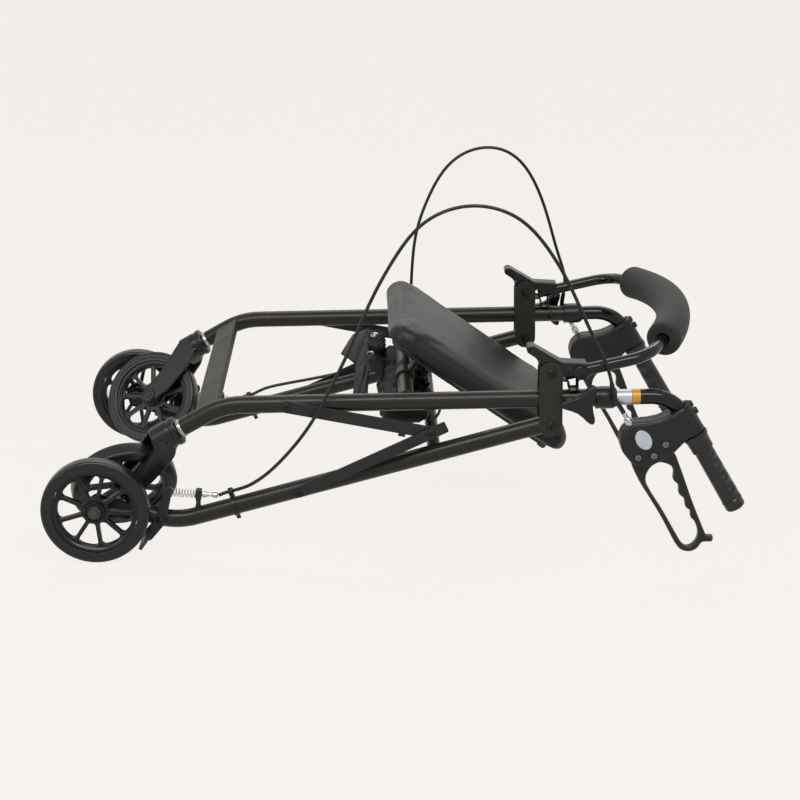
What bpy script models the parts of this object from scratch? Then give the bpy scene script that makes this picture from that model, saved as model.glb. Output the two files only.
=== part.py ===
"""A folding four-wheeled walker (rollator), folded up and lying on its back.

The two rear wheels and the loops of the two brake levers rest on the floor at z = 0.
+X runs along the frame from the wheels to the handles, +Y runs across to the walker's
right side, and +Z is the walker's front, because it lies on its back. Metres.
Left pieces lie at negative Y, right pieces at positive Y.
"""

import math

import bmesh
import bpy
from mathutils import Matrix, Vector

# Frame tubes
TRACK = 0.450            # between the middle planes of the left and right frame tubes
TUBE_R = 0.0127          # frame tube, outside radius
ORIGIN_AHEAD = 0.0030    # the origin lies midway along the folded walker
TUBE_BORE = 0.0118       # bore of the upper front tube, where the handle slides
FIT = 0.0003             # gap kept between pieces that touch
HOLE_EASE = 0.0003       # radial clearance of a pin in its hole

# Attitude of the folded frame, all as slopes in the side view
FRONT_RISE = math.radians(1.5)     # front tube, rising to the right
STEM_FALL = math.radians(30.0)     # caster stem, falling to the left
REAR_FALL = math.radians(15.9)     # rear leg, falling to the left from its hinge
FOOT_RISE = math.radians(17.4)     # last stretch of the rear leg, rising to the axle
GRIP_FALL = math.radians(59.0)     # grip, falling to the right
SEAT_FALL = math.radians(34.5)     # seat, falling to the right
BACKREST_RISE = math.radians(13.3)  # backrest arms, rising to the right

# Stations along the front tube's axis, measured from x = 0
STEM_STATION = -0.2440   # bend between front tube and caster stem
FRONT_LINK_STATION = -0.1537
SEAT_HINGE_STATION = 0.0155
PLATE_STATION = 0.2186
KNOB_STATION = 0.2612
COLLAR_STATION = 0.2827
FRONT_TOP_STATION = 0.3090
HANDLE_BEND_STATION = 0.3927
BORE_DEPTH = 0.238       # how far the handle's bore runs down the front tube
STEM_LENGTH = 0.0657
STEM_BEND_R = 0.110

# Side plates that join front tube, rear leg and backrest bracket
PLATE_R = 0.0165
PLATE_T = 0.0030
HINGE_DROP = 0.0362      # rear leg hinge, below the front tube's axis
BACKREST_LIFT = 0.0412   # backrest pivot, above the front tube's axis
BOLT_R = 0.0039
BOLT_HEAD_R = 0.0068
BOLT_HEAD_H = 0.0034

# Rear legs, measured from the hinge
REAR_LEG = 0.5558        # hinge to the foot bend
REAR_FOOT = 0.1133       # foot bend to the wheel axle
REAR_BEND_R = 0.100
REAR_TOP_END = 0.0130    # tube past the hinge
AXLE_PLATE_T = 0.0050
AXLE_PLATE_R = 0.0130
AXLE_PLATE_REACH = 0.040  # from the axle back to the plate's first centre
AXLE_R = 0.0040
REAR_CROSS = 0.170       # hinge to the rear cross tube
REAR_CROSS_R = 0.0095
REAR_LINK_AT = 0.3716    # hinge to the rear link's pivot
CABLE_CLIP_AT = 0.4662
CLIP_LIFT = 0.0228       # leg axis to the cable in its clip

# Wheels
WHEEL_R = 0.0765
TYRE_W = 0.0240
RIM_R = 0.0600
RIM_W = 0.0160
WINDOW_R = 0.0560
HUB_R = 0.0150
HUB_W = 0.0250
SPOKES = 9
SPOKE_W = 0.0060
REAR_WHEEL_OUT = 0.0445  # from the frame tube's middle plane to the wheel's
CASTER_TRAIL = 0.0450
CASTER_DROP = 0.1250     # stem end to the caster's axle, along the stem
CASTER_TURN = {-1: math.radians(33.0), 1: math.radians(36.0)}

# Cross members
CROSSBAR_W = 0.036
CROSSBAR_T = 0.012
CROSSBAR_AT = 0.025      # from the stem's bend to the crossbar's middle
CROSSBAR_LIFT = 0.003
SEAT_TUBE_R = 0.0110

# Folding links
FRONT_LINK = 0.2072
FRONT_LINK_W = 0.0180
REAR_LINK_W = 0.0165
LINK_T = 0.0030
LINK_ANGLE = math.radians(-10.4)

# Seat
SEAT_L = 0.320
SEAT_W = 0.310
PAD_T = 0.034
BOARD_T = 0.006
SEAT_LIFT = 0.0336       # seat hinge to the board's underside
SEAT_AHEAD = 0.067       # seat in front of its hinge
STRAP_W = 0.025
STRAP_T = 0.003
STRAP_OUT = SEAT_W / 2 - 0.050
BUMPER_AT = SEAT_L - SEAT_AHEAD - 0.0245   # the bumpers sit at the straps' ends
BUMPER_H = 0.0110

# Backrest
BAR_R = 0.0085
ARC_R = 0.400            # the bar's long curve behind the user
ARC_APEX = 0.155         # from the bracket's mouth to the curve's furthest point
BAR_BEND_R = 0.050
FOAM_R = 0.0255
FOAM_HALF_ANGLE = 24.5
SOCKET_DEPTH = 0.030
BUTTON_R = 0.0088

# Handles and brakes
HANDLE_R = 0.0111
HANDLE_BEND_R = 0.055
HANDLE_BELOW = 0.106     # station of the handle tube's lower end
HEIGHT_PITCH = 0.0254    # between the height holes
HOLES_LOWERED = {-1: 0, 1: 1}  # the right handle is set one hole lower than the left
HEIGHT_HOLES = 6
GRIP_START = 0.0690
GRIP_END = 0.1955
GRIP_R = 0.0148
HOUSING_T = 0.0360
SLEEVE_R = 0.0168
LEVER_T = 0.0130
KNOB_R = 0.0320
CABLE_R = 0.0025
SPRING_R = 0.0058
SPRING_WIRE = 0.0006
SPRING_TURNS = 9


# Working planes and points of the side view


def heading(angle):
    """Unit vector at an angle above +X in the side view."""
    return Vector((math.cos(angle), 0.0, math.sin(angle)))


FRONT_DIR = heading(FRONT_RISE)
FRONT_UP = heading(FRONT_RISE + math.pi / 2)
STEM_DIR = heading(math.pi + STEM_FALL)
STEM_UP = heading(STEM_FALL + math.pi / 2)
REAR_DIR = heading(math.pi + REAR_FALL)
REAR_UP = heading(REAR_FALL + math.pi / 2)
FOOT_DIR = heading(math.pi - FOOT_RISE)
GRIP_DIR = heading(-GRIP_FALL)
GRIP_DOWN = heading(-GRIP_FALL - math.pi / 2)
SEAT_DIR = heading(-SEAT_FALL)
SEAT_UP = heading(-SEAT_FALL + math.pi / 2)
ARM_DIR = heading(BACKREST_RISE)
ARM_UP = heading(BACKREST_RISE + math.pi / 2)
ACROSS = Vector((0.0, 1.0, 0.0))
HALF = TRACK / 2

# The rear wheels stand on the floor, so the hinge height follows from the rear leg.
HINGE_Z = WHEEL_R - REAR_LEG * REAR_DIR.z - REAR_FOOT * FOOT_DIR.z
PLATE_MID = Vector((PLATE_STATION * FRONT_DIR.x - ORIGIN_AHEAD, 0.0, 0.0))
HINGE = Vector((PLATE_MID.x, 0.0, HINGE_Z)) - Vector((HINGE_DROP * FRONT_UP.x, 0.0, 0.0))
FRONT_ZERO = HINGE + HINGE_DROP * FRONT_UP - PLATE_STATION * FRONT_DIR


def front(station, lift=0.0):
    """Point in the side view at a station on the front tube's axis."""
    return FRONT_ZERO + station * FRONT_DIR + lift * FRONT_UP


def rear(distance, lift=0.0):
    """Point in the side view at a distance down the rear leg."""
    return HINGE + distance * REAR_DIR + lift * REAR_UP


def side_point(point, y):
    """The side-view point moved to the plane at y."""
    return Vector((point.x, y, point.z))


BACKREST_PIVOT = front(PLATE_STATION, BACKREST_LIFT)
STEM_BEND = front(STEM_STATION)
STEM_END = STEM_BEND + STEM_LENGTH * STEM_DIR
SEAT_HINGE = front(SEAT_HINGE_STATION)
FRONT_LINK_PIVOT = front(FRONT_LINK_STATION)
LINK_DIR = heading(LINK_ANGLE)
LINK_JOINT = FRONT_LINK_PIVOT + FRONT_LINK * LINK_DIR
REAR_LINK_PIVOT = rear(REAR_LINK_AT)
FOOT_BEND = rear(REAR_LEG)
AXLE = FOOT_BEND + REAR_FOOT * FOOT_DIR
BRAKE_PIVOT = FOOT_BEND + 0.0197 * FOOT_DIR + 0.0015 * REAR_UP
OUTER = HALF + TUBE_R + FIT    # first plane outside a frame tube
INNER = HALF - TUBE_R - FIT    # first plane inside a frame tube


def lowered(side):
    """How far a handle is pushed down from the left one's height."""
    return HOLES_LOWERED[side] * HEIGHT_PITCH


def grip_point(side, along, down):
    """Side-view point on a handle: along the grip and down from it, from the bend."""
    bend = front(HANDLE_BEND_STATION - lowered(side))
    return bend + along * GRIP_DIR + down * GRIP_DOWN


# Materials


def material(name, colour, roughness, metallic=0.0):
    """A Principled surface with a colour, a roughness and a metallic value."""
    made = bpy.data.materials.new(name)
    made.use_nodes = True
    shader = made.node_tree.nodes["Principled BSDF"]
    shader.inputs["Base Color"].default_value = (*colour, 1.0)
    shader.inputs["Roughness"].default_value = roughness
    shader.inputs["Metallic"].default_value = metallic
    return made


# Building helpers

for old in list(bpy.data.objects):
    bpy.data.objects.remove(old, do_unlink=True)

PARTS = bpy.data.collections.new("rollator")
bpy.context.scene.collection.children.link(PARTS)

FRAME_PAINT = material("frame_paint", (0.030, 0.029, 0.022), 0.35, 0.6)
PLATE_PAINT = material("plate_paint", (0.022, 0.022, 0.018), 0.5, 0.4)
BLACK_GLOSS = material("black_gloss", (0.006, 0.006, 0.007), 0.15, 0.3)
BLACK_PLASTIC = material("black_plastic", (0.014, 0.013, 0.015), 0.45)
RUBBER = material("rubber", (0.011, 0.011, 0.012), 0.6)
VINYL = material("vinyl", (0.020, 0.020, 0.021), 0.55)
FOAM = material("foam", (0.012, 0.012, 0.013), 0.85)
FABRIC = material("fabric", (0.008, 0.008, 0.009), 0.9)
STEEL = material("steel", (0.55, 0.56, 0.58), 0.3, 1.0)
DARK_STEEL = material("dark_steel", (0.05, 0.05, 0.05), 0.35, 0.9)


def body(name, pivot):
    """An empty on the joint's axis, which carries the pieces of one moving body."""
    empty = bpy.data.objects.new(name, None)
    empty.location = pivot
    PARTS.objects.link(empty)
    return empty


def link(obj, carrier, surface):
    """Hang an object on its body's empty and give it its material."""
    PARTS.objects.link(obj)
    obj.parent = carrier
    if surface is not None:
        obj.data.materials.clear()
        obj.data.materials.append(surface)
    return obj


def evaluated_mesh(obj):
    """The object's shape after its modifiers, as a mesh with welded caps."""
    bpy.context.view_layer.update()
    graph = bpy.context.evaluated_depsgraph_get()
    mesh = bpy.data.meshes.new_from_object(obj.evaluated_get(graph))
    work = bmesh.new()
    work.from_mesh(mesh)
    bmesh.ops.remove_doubles(work, verts=work.verts, dist=0.000002)
    bmesh.ops.recalc_face_normals(work, faces=work.faces)
    work.to_mesh(mesh)
    work.free()
    return mesh


def baked(obj):
    """Replace a curve, or an object with modifiers, by its plain mesh."""
    mesh = evaluated_mesh(obj)
    solid = bpy.data.objects.new(obj.name + "_mesh", mesh)
    solid.matrix_world = obj.matrix_world.copy()
    bpy.context.scene.collection.objects.link(solid)
    bpy.data.objects.remove(obj, do_unlink=True)
    return solid


def combine(base, tool, operation):
    """Boolean of two loose solids; the tool is used up."""
    cut = base.modifiers.new("cut", "BOOLEAN")
    cut.operation = operation
    cut.object = tool
    cut.solver = "EXACT"
    solid = baked(base)
    bpy.data.objects.remove(tool, do_unlink=True)
    return solid


def united(pieces):
    """Boolean union of several overlapping loose solids."""
    whole = pieces[0]
    for piece in pieces[1:]:
        whole = combine(whole, piece, "UNION")
    return whole


def without(base, tools):
    """The base solid with each tool cut out of it."""
    for tool in tools:
        base = combine(base, tool, "DIFFERENCE")
    return base


def finished(name, solid, carrier, surface, smooth=30.0):
    """A named piece from a loose solid, with its origin at its body's pivot."""
    mesh = solid.data.copy()
    mesh.name = name
    mesh.transform(Matrix.Translation(-carrier.location) @ solid.matrix_world)
    bpy.data.objects.remove(solid, do_unlink=True)
    mesh.shade_smooth()
    mesh.set_sharp_from_angle(angle=math.radians(smooth))
    return link(bpy.data.objects.new(name, mesh), carrier, surface)


def loose(name, data):
    """An object that is not yet a node."""
    obj = bpy.data.objects.new(name, data)
    bpy.context.scene.collection.objects.link(obj)
    return obj


def filleted(corners, radii, step=math.radians(10)):
    """A path through corner points whose bends are arcs of the given radii."""
    path = [corners[0].copy()]
    for before, corner, after, radius in zip(corners, corners[1:], corners[2:], radii):
        back = (before - corner).normalized()
        ahead = (after - corner).normalized()
        turn = math.pi - back.angle(ahead)
        reach = radius * math.tan(turn / 2)
        normal = (back + ahead).normalized()
        centre = corner + normal * radius / math.cos(turn / 2)
        first = corner + back * reach - centre
        axis = back.cross(ahead).normalized()
        count = max(2, round(turn / step))
        for i in range(count + 1):
            spin = Matrix.Rotation(-turn * i / count, 3, axis)
            path.append(centre + spin @ first)
    path.append(corners[-1].copy())
    return path


def tube(name, path, radius, resolution=4):
    """A round bar along a path: a curve with a bevel depth and filled caps."""
    curve = bpy.data.curves.new(name, "CURVE")
    curve.dimensions = "3D"
    spline = curve.splines.new("POLY")
    spline.points.add(len(path) - 1)
    for point, place in zip(spline.points, path):
        point.co = (*place, 1.0)
    curve.bevel_depth = radius
    curve.bevel_resolution = resolution
    curve.use_fill_caps = True
    return loose(name, curve)


def tube_node(name, path, radius, carrier, surface, resolution=4):
    """A tube that stays a curve object, with its origin at its body's pivot."""
    shifted = [place - carrier.location for place in path]
    obj = tube(name, shifted, radius, resolution)
    bpy.context.scene.collection.objects.unlink(obj)
    return link(obj, carrier, surface)


def slab(name, outlines, y, thickness):
    """Side-view outlines, the first one solid and the others holes, made thick in Y."""
    curve = bpy.data.curves.new(name, "CURVE")
    curve.dimensions = "2D"
    curve.fill_mode = "BOTH"
    curve.extrude = thickness / 2
    for outline in outlines:
        spline = curve.splines.new("POLY")
        spline.points.add(len(outline) - 1)
        for point, (x, z) in zip(spline.points, outline):
            point.co = (x, z, 0.0, 1.0)
        spline.use_cyclic_u = True
    obj = loose(name, curve)
    obj.rotation_euler = (math.pi / 2, 0.0, 0.0)
    obj.location = (0.0, y, 0.0)
    return baked(obj)


def flat(points):
    """Side-view vectors as pairs for an outline."""
    return [(p.x, p.z) for p in points]


def circle(centre, radius, count=12, start=0.0):
    """A circle as an outline."""
    turns = [start + 2 * math.pi * i / count for i in range(count)]
    return [(centre.x + radius * math.cos(a), centre.z + radius * math.sin(a)) for a in turns]


def hull_of_circles(first, second, radius_a, radius_b, count=7):
    """Outline of a bar with round ends: half circles round two points, joined."""
    along = second - first
    base = math.atan2(along.z, along.x)
    points = []
    for centre, radius, start in ((second, radius_b, base - math.pi / 2),
                                  (first, radius_a, base + math.pi / 2)):
        for i in range(count):
            a = start + math.pi * i / (count - 1)
            points.append((centre.x + radius * math.cos(a), centre.z + radius * math.sin(a)))
    return points


def through_points(points, per_span=4, closed=True):
    """A smooth closed outline through hand-placed points (Catmull-Rom)."""
    count = len(points)
    smooth = []
    for i in range(count if closed else count - 1):
        a, b, c, d = (Vector(points[(i + k - 1) % count]) for k in range(4))
        for j in range(per_span):
            t = j / per_span
            smooth.append(0.5 * ((2 * b) + (c - a) * t + (2 * a - 5 * b + 4 * c - d) * t * t
                                 + (3 * b - a - 3 * c + d) * t ** 3))
    return [tuple(p) for p in smooth]


def aligned(origin, direction):
    """Placement whose local Z runs along a direction."""
    turn = Vector((0.0, 0.0, 1.0)).rotation_difference(direction.normalized())
    return Matrix.Translation(origin) @ turn.to_matrix().to_4x4()


def turned(name, profile, origin, direction, steps=12, closed=False):
    """A turned piece: (radius, height) points from the top down, spun about the axis.

    An open profile starts and ends on the axis; a closed one is a ring.
    """
    mesh = bpy.data.meshes.new(name)
    count = len(profile)
    edges = [(i, (i + 1) % count) for i in range(count if closed else count - 1)]
    mesh.from_pydata([(r, 0.0, h) for r, h in profile], edges, [])
    obj = loose(name, mesh)
    spin = obj.modifiers.new("spin", "SCREW")
    spin.steps = steps
    spin.render_steps = steps
    spin.use_merge_vertices = True
    spin.merge_threshold = 0.000005
    obj.matrix_world = aligned(origin, direction)
    return baked(obj)


def rod(name, origin, direction, radius, start, end, steps=12):
    """A plain round pin between two heights on an axis."""
    return turned(name, [(0, end), (radius, end), (radius, start), (0, start)],
                  origin, direction, steps)


def cross_bolt(name, place, side, start, end, nut=True, seated=False):
    """A bolt across the frame: head outside, shank, nut on its inner end.

    start and end are distances from the middle of the walker. A seated bolt's head and nut
    sink a little into what they clamp; the others keep the fitting gap.
    """
    head_r = BOLT_HEAD_R
    head = BOLT_HEAD_H
    gap = -2 * FIT if seated else FIT
    profile = [(0, end + head), (head_r * 0.6, end + head), (head_r, end + head * 0.45),
               (head_r, end + gap), (BOLT_R, end + gap)]
    if nut:
        profile += [(BOLT_R, start - gap), (head_r, start - gap), (head_r, start - head),
                    (0, start - head)]
    else:
        profile += [(BOLT_R, start), (0, start)]
    return turned(name, profile, place, side * ACROSS, 8)


def box(name, centre, size, matrix=None, bevel=0.0, segments=2):
    """A block from a cube, with rounded edges if asked."""
    mesh = bpy.data.meshes.new(name)
    work = bmesh.new()
    bmesh.ops.create_cube(work, size=1.0)
    bmesh.ops.scale(work, vec=size, verts=work.verts)
    if matrix is not None:
        bmesh.ops.transform(work, matrix=matrix, verts=work.verts)
    bmesh.ops.translate(work, vec=centre, verts=work.verts)
    work.to_mesh(mesh)
    work.free()
    obj = loose(name, mesh)
    if bevel:
        rounding = obj.modifiers.new("rounding", "BEVEL")
        rounding.width = bevel
        rounding.segments = segments
        obj = baked(obj)
    return obj


def basis(x_axis, y_axis, z_axis):
    """Rotation whose columns are the three axes."""
    return Matrix((x_axis, y_axis, z_axis)).transposed().to_4x4()


def side_name(side):
    """The walker's left is at negative Y."""
    return "left" if side < 0 else "right"


SIDES = (-1, 1)

# Front frame: two bent tubes, the crossbar and the seat's hinge tube, all welded

front_frame = body("front_frame", FRONT_ZERO)


def front_path(side):
    """Centre line of a front tube, from its open top to the caster stem."""
    corners = [front(FRONT_TOP_STATION), STEM_BEND, STEM_END]
    return filleted([side_point(p, side * HALF) for p in corners], [STEM_BEND_R])


def front_cutter(side):
    """The front tube swollen by the fitting gap, to shape what is welded to it."""
    return baked(tube("front_cutter", front_path(side), TUBE_R + FIT))


for side in SIDES:
    leg = baked(tube("leg", front_path(side), TUBE_R))
    mouth = side_point(front(FRONT_TOP_STATION), side * HALF)
    bore = rod("bore", mouth, -FRONT_DIR, TUBE_BORE, -0.01, BORE_DEPTH)
    pin_r = BOLT_R + HOLE_EASE
    knob_hole = rod("hole", front(KNOB_STATION), side * ACROSS, pin_r, HALF, HALF + 0.03)
    stem_hole = rod("hole", side_point(STEM_END, side * HALF), -STEM_DIR, 0.0064, -0.01, 0.022)
    leg = without(leg, [bore, knob_hole, stem_hole])
    rivet = cross_bolt("rivet", FRONT_LINK_PIVOT, side, HALF, OUTER + LINK_T, nut=False)
    wall = HALF - TUBE_R
    nut = turned("nut", [(0, wall + 0.0006), (BOLT_HEAD_R, wall + 0.0006), (BOLT_HEAD_R, wall - 0.0040),
                         (0.0040, wall - 0.0050), (0, wall - 0.0050)],
                 front(KNOB_STATION), side * ACROSS, 12)
    finished(f"front_leg_{side_name(side)}", united([leg, rivet, nut]), front_frame, FRAME_PAINT)

crossbar_mid = STEM_BEND + CROSSBAR_AT * STEM_DIR + CROSSBAR_LIFT * STEM_UP
crossbar = box("crossbar", crossbar_mid, (CROSSBAR_W, TRACK, CROSSBAR_T),
               basis(-STEM_DIR, ACROSS, STEM_UP), bevel=0.0015)
crossbar = without(crossbar, [front_cutter(side) for side in SIDES])
finished("front_crossbar", crossbar, front_frame, FRAME_PAINT)

hinge_tube = rod("tube", SEAT_HINGE, ACROSS, SEAT_TUBE_R, -HALF, HALF)
hinge_tube = without(hinge_tube, [front_cutter(side) for side in SIDES])
finished("seat_hinge_tube", hinge_tube, front_frame, FRAME_PAINT)

# Side plates: a pair on each side, held by the two bolts that rear leg and backrest turn on

for side in SIDES:
    outline = hull_of_circles(HINGE, BACKREST_PIVOT, PLATE_R, PLATE_R)
    plates = [slab("plate", [outline], side * (inner_face + PLATE_T / 2), PLATE_T)
              for inner_face in (OUTER, INNER - PLATE_T)]
    bolts = [cross_bolt("bolt", place, side, INNER - PLATE_T, OUTER + PLATE_T, seated=True)
             for place in (HINGE, BACKREST_PIVOT)]
    finished(f"side_plates_{side_name(side)}", united(plates + bolts), front_frame, PLATE_PAINT)

# Plastic collars on the front tubes' tops, which guide the handles

for side in SIDES:
    foot = side_point(front(COLLAR_STATION), side * HALF)
    length = FRONT_TOP_STATION - COLLAR_STATION
    outer_r = TUBE_R + 0.0033
    inner_r = TUBE_R + 2 * FIT
    lip_r = HANDLE_R + 0.0004
    lip = length + 0.0035
    ring = [(outer_r - 0.001, lip), (outer_r, lip - 0.001), (outer_r, 0), (inner_r, 0),
            (inner_r, length + FIT), (lip_r, length + FIT), (lip_r, lip)]
    collar = turned("collar", ring, foot, FRONT_DIR, 16, closed=True)
    finished(f"height_collar_{side_name(side)}", collar, front_frame, BLACK_PLASTIC)

# Caster stems: a steel washer face under each tube and the stud that the fork turns on

STUD_R = 0.0060
STUD_LENGTH = 0.040
for side in SIDES:
    end = side_point(STEM_END, side * HALF)
    profile = [(0, 0.021), (STUD_R, 0.021), (STUD_R, -FIT), (0.0115, -FIT), (0.0135, -0.0015),
               (0.0135, -0.0050), (0.0100, -0.0060), (STUD_R, -0.0060), (STUD_R, -STUD_LENGTH),
               (0, -STUD_LENGTH)]
    stud = turned("stud", profile, end, -STEM_DIR, 14)
    finished(f"caster_stud_{side_name(side)}", stud, front_frame, STEEL)

# Rear frame: two bent legs with welded axle plates, joined by a cross tube

rear_frame = body("rear_frame", HINGE)


def rear_path(side):
    """Centre line of a rear leg, from above its hinge to short of the axle."""
    corners = [rear(-REAR_TOP_END), FOOT_BEND, AXLE - (AXLE_PLATE_REACH - 0.004) * FOOT_DIR]
    return filleted([side_point(p, side * HALF) for p in corners], [REAR_BEND_R])


def rear_cutter(side):
    """The rear leg swollen by the fitting gap."""
    return baked(tube("rear_cutter", rear_path(side), TUBE_R + FIT))


cross = rod("cross", rear(REAR_CROSS), ACROSS, REAR_CROSS_R, -HALF, HALF)
cross = without(cross, [rear_cutter(side) for side in SIDES])
finished("rear_cross_tube", cross, rear_frame, FRAME_PAINT)

# The cable runs straight through stop and adjuster, and the return spring lies on its line.
SPRING_LINE = FOOT_BEND + Vector((0.03406, 0.0, 0.04218))
SPRING_DIR = heading(math.radians(-3.5))
STOP_W = 0.0090
ARM_T = 0.0040
EYE_R = CABLE_R + 0.0010
AXLE_PLATE_IN = HALF + TUBE_R - 0.0020
clip_mid = rear(CABLE_CLIP_AT)


def cable_stop(side):
    """The upright bracket that holds the cable's adjuster, waisted above the tube."""
    up = heading(math.radians(86.5))
    half = 0.5 * STOP_W * SPRING_DIR
    foot = SPRING_LINE - 0.0320 * up
    waist = SPRING_LINE - 0.0110 * up
    neck = SPRING_LINE - 0.0050 * up
    top = SPRING_LINE + 0.0075 * up
    outline = [foot - 0.0060 * SPRING_DIR, foot + 0.0060 * SPRING_DIR, waist + 0.0028 * SPRING_DIR,
               neck + half, top + half, top - half, neck - half, waist - 0.0028 * SPRING_DIR]
    stop = slab("stop", [flat(outline)], side * HALF, 0.0110)
    bore = rod("bore", side_point(SPRING_LINE, side * HALF), SPRING_DIR, 0.0029, -0.02, 0.02, 12)
    return without(stop, [bore])


def cable_clip(side):
    """A band round the leg with an eye above it, through which the cable runs."""
    eye = Vector((0.0, 0.0, CLIP_LIFT))
    outline = hull_of_circles(Vector((0.0, 0.0, 0.0)), eye, TUBE_R + 0.0022, EYE_R + 0.0020)
    clip = slab("clip", [outline, circle(eye, EYE_R, 8)], 0.0, 0.0070)
    place = Matrix.Translation(side_point(clip_mid, side * HALF))
    clip.matrix_world = place @ basis(ACROSS, REAR_UP, -REAR_DIR)
    return clip


for side in SIDES:
    name = side_name(side)
    leg = baked(tube("leg", rear_path(side), TUBE_R))
    plate_start = AXLE - AXLE_PLATE_REACH * FOOT_DIR
    outline = hull_of_circles(plate_start, AXLE, AXLE_PLATE_R, AXLE_PLATE_R)
    plate = slab("plate", [outline], side * (AXLE_PLATE_IN + AXLE_PLATE_T / 2), AXLE_PLATE_T)
    link_rivet = cross_bolt("rivet", REAR_LINK_PIVOT, side, HALF, OUTER + LINK_T, nut=False)
    brake_rivet = cross_bolt("rivet", BRAKE_PIVOT, side, HALF, OUTER + ARM_T, nut=False)
    leg = united([leg, plate, cable_stop(side), cable_clip(side), link_rivet, brake_rivet])
    hinge_hole = rod("hole", HINGE, side * ACROSS, BOLT_R + HOLE_EASE, HALF - 0.02, HALF + 0.02)
    axle_hole = rod("hole", AXLE, side * ACROSS, AXLE_R + HOLE_EASE, HALF - 0.02, HALF + 0.03, 12)
    finished(f"rear_leg_{name}", without(leg, [hinge_hole, axle_hole]), rear_frame, FRAME_PAINT)

    barrel = [(0, 0.0275), (0.0030, 0.0275), (0.0040, 0.0265), (0.0040, 0.0200), (0.0027, 0.0190),
              (0.0027, 0.0120), (0.0042, 0.0110), (0.0042, 0.0058), (0.0026, 0.0056),
              (0.0026, -0.0052), (0, -0.0052)]
    adjuster = turned("barrel", barrel, side_point(SPRING_LINE, side * HALF), SPRING_DIR, 10)
    finished(f"rear_cable_adjuster_{name}", adjuster, rear_frame, STEEL)

# Wheel axles on the rear legs

WHEEL_MID = HALF + REAR_WHEEL_OUT
for side in SIDES:
    plate_in = AXLE_PLATE_IN
    plate_out = AXLE_PLATE_IN + AXLE_PLATE_T
    hub_in = WHEEL_MID - HUB_W / 2
    hub_out = WHEEL_MID + HUB_W / 2
    profile = [(0, hub_out + 0.0038), (0.0070, hub_out + 0.0032), (0.0085, hub_out + FIT),
               (AXLE_R, hub_out + FIT), (AXLE_R, hub_in - FIT), (0.0075, hub_in - FIT),
               (0.0075, plate_out + FIT), (AXLE_R, plate_out + FIT), (AXLE_R, plate_in - FIT),
               (0.0070, plate_in - FIT), (0.0070, plate_in - 0.0035), (0, plate_in - 0.0035)]
    axle = turned("axle", profile, AXLE, side * ACROSS)
    finished(f"rear_axle_{side_name(side)}", axle, rear_frame, DARK_STEEL)

# Folding links: a front and a rear flat bar on each side, which straighten as it unfolds

for side in SIDES:
    name = side_name(side)
    pivot_r = BOLT_R + HOLE_EASE
    carrier = body(f"front_link_{name}_pivot", side_point(FRONT_LINK_PIVOT, side * HALF))
    outline = hull_of_circles(FRONT_LINK_PIVOT, LINK_JOINT, FRONT_LINK_W / 2, FRONT_LINK_W / 2)
    bar = slab("bar", [outline, circle(FRONT_LINK_PIVOT, pivot_r, 12)],
               side * (OUTER + LINK_T / 2), LINK_T)
    nub_at = FRONT_LINK_PIVOT + (FRONT_LINK - 0.040) * LINK_DIR
    link_up = Vector((-LINK_DIR.z, 0.0, LINK_DIR.x))
    nub = box("nub", side_point(nub_at - (FRONT_LINK_W / 2) * link_up, side * (OUTER + LINK_T / 2)),
              (0.010, LINK_T, 0.007), basis(LINK_DIR, ACROSS, link_up))
    rivet = turned("rivet", [(0, 0.0010), (0.0055, 0.0010), (0.0055, -0.0018), (0.0045, -0.0026),
                             (0, -0.0026)],
                   side_point(LINK_JOINT, side * OUTER), side * ACROSS, 12)
    finished(f"front_link_{name}", united([bar, nub, rivet]), carrier, PLATE_PAINT)

    carrier = body(f"rear_link_{name}_pivot", side_point(REAR_LINK_PIVOT, side * HALF))
    span = LINK_JOINT - REAR_LINK_PIVOT
    along = span.normalized()
    up = Vector((-along.z, 0.0, along.x))
    reach = span.length
    inner = OUTER
    outer = OUTER + LINK_T + FIT * 2
    tail = 0.0245
    bend_a = 0.055
    bend_b = 0.067
    edge = [(-0.02, inner), (bend_a, inner), (bend_b, outer), (reach + tail, outer)]
    thick = [(x, y + LINK_T) for x, y in reversed(edge)]
    bar = slab("bar", [edge + thick], 0.0, 0.030)
    bar.matrix_world = Matrix.Translation(REAR_LINK_PIVOT) @ basis(along, side * ACROSS, side * up)
    half = REAR_LINK_W / 2
    outline = hull_of_circles(REAR_LINK_PIVOT, LINK_JOINT, half, half)[7:]
    outline += flat([LINK_JOINT - half * up, LINK_JOINT + (tail - 0.002) * along - half * up,
                     LINK_JOINT + tail * along - (half - 0.002) * up,
                     LINK_JOINT + tail * along + (half - 0.002) * up,
                     LINK_JOINT + (tail - 0.002) * along + half * up, LINK_JOINT + half * up])
    shape = slab("shape", [outline, circle(REAR_LINK_PIVOT, pivot_r, 12)], side * (OUTER + 0.005), 0.04)
    bar = combine(bar, shape, "INTERSECT")
    face = outer + LINK_T
    rivet = turned("rivet", [(0, face + 0.0032), (0.0040, face + 0.0030), (0.0062, face + 0.0018),
                             (0.0062, face - 0.0010), (0, face - 0.0010)],
                   LINK_JOINT, side * ACROSS, 14)
    finished(f"rear_link_{name}", united([bar, rivet]), carrier, PLATE_PAINT)

# Wheels: a moulded rim with nine spokes and a solid tyre


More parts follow.
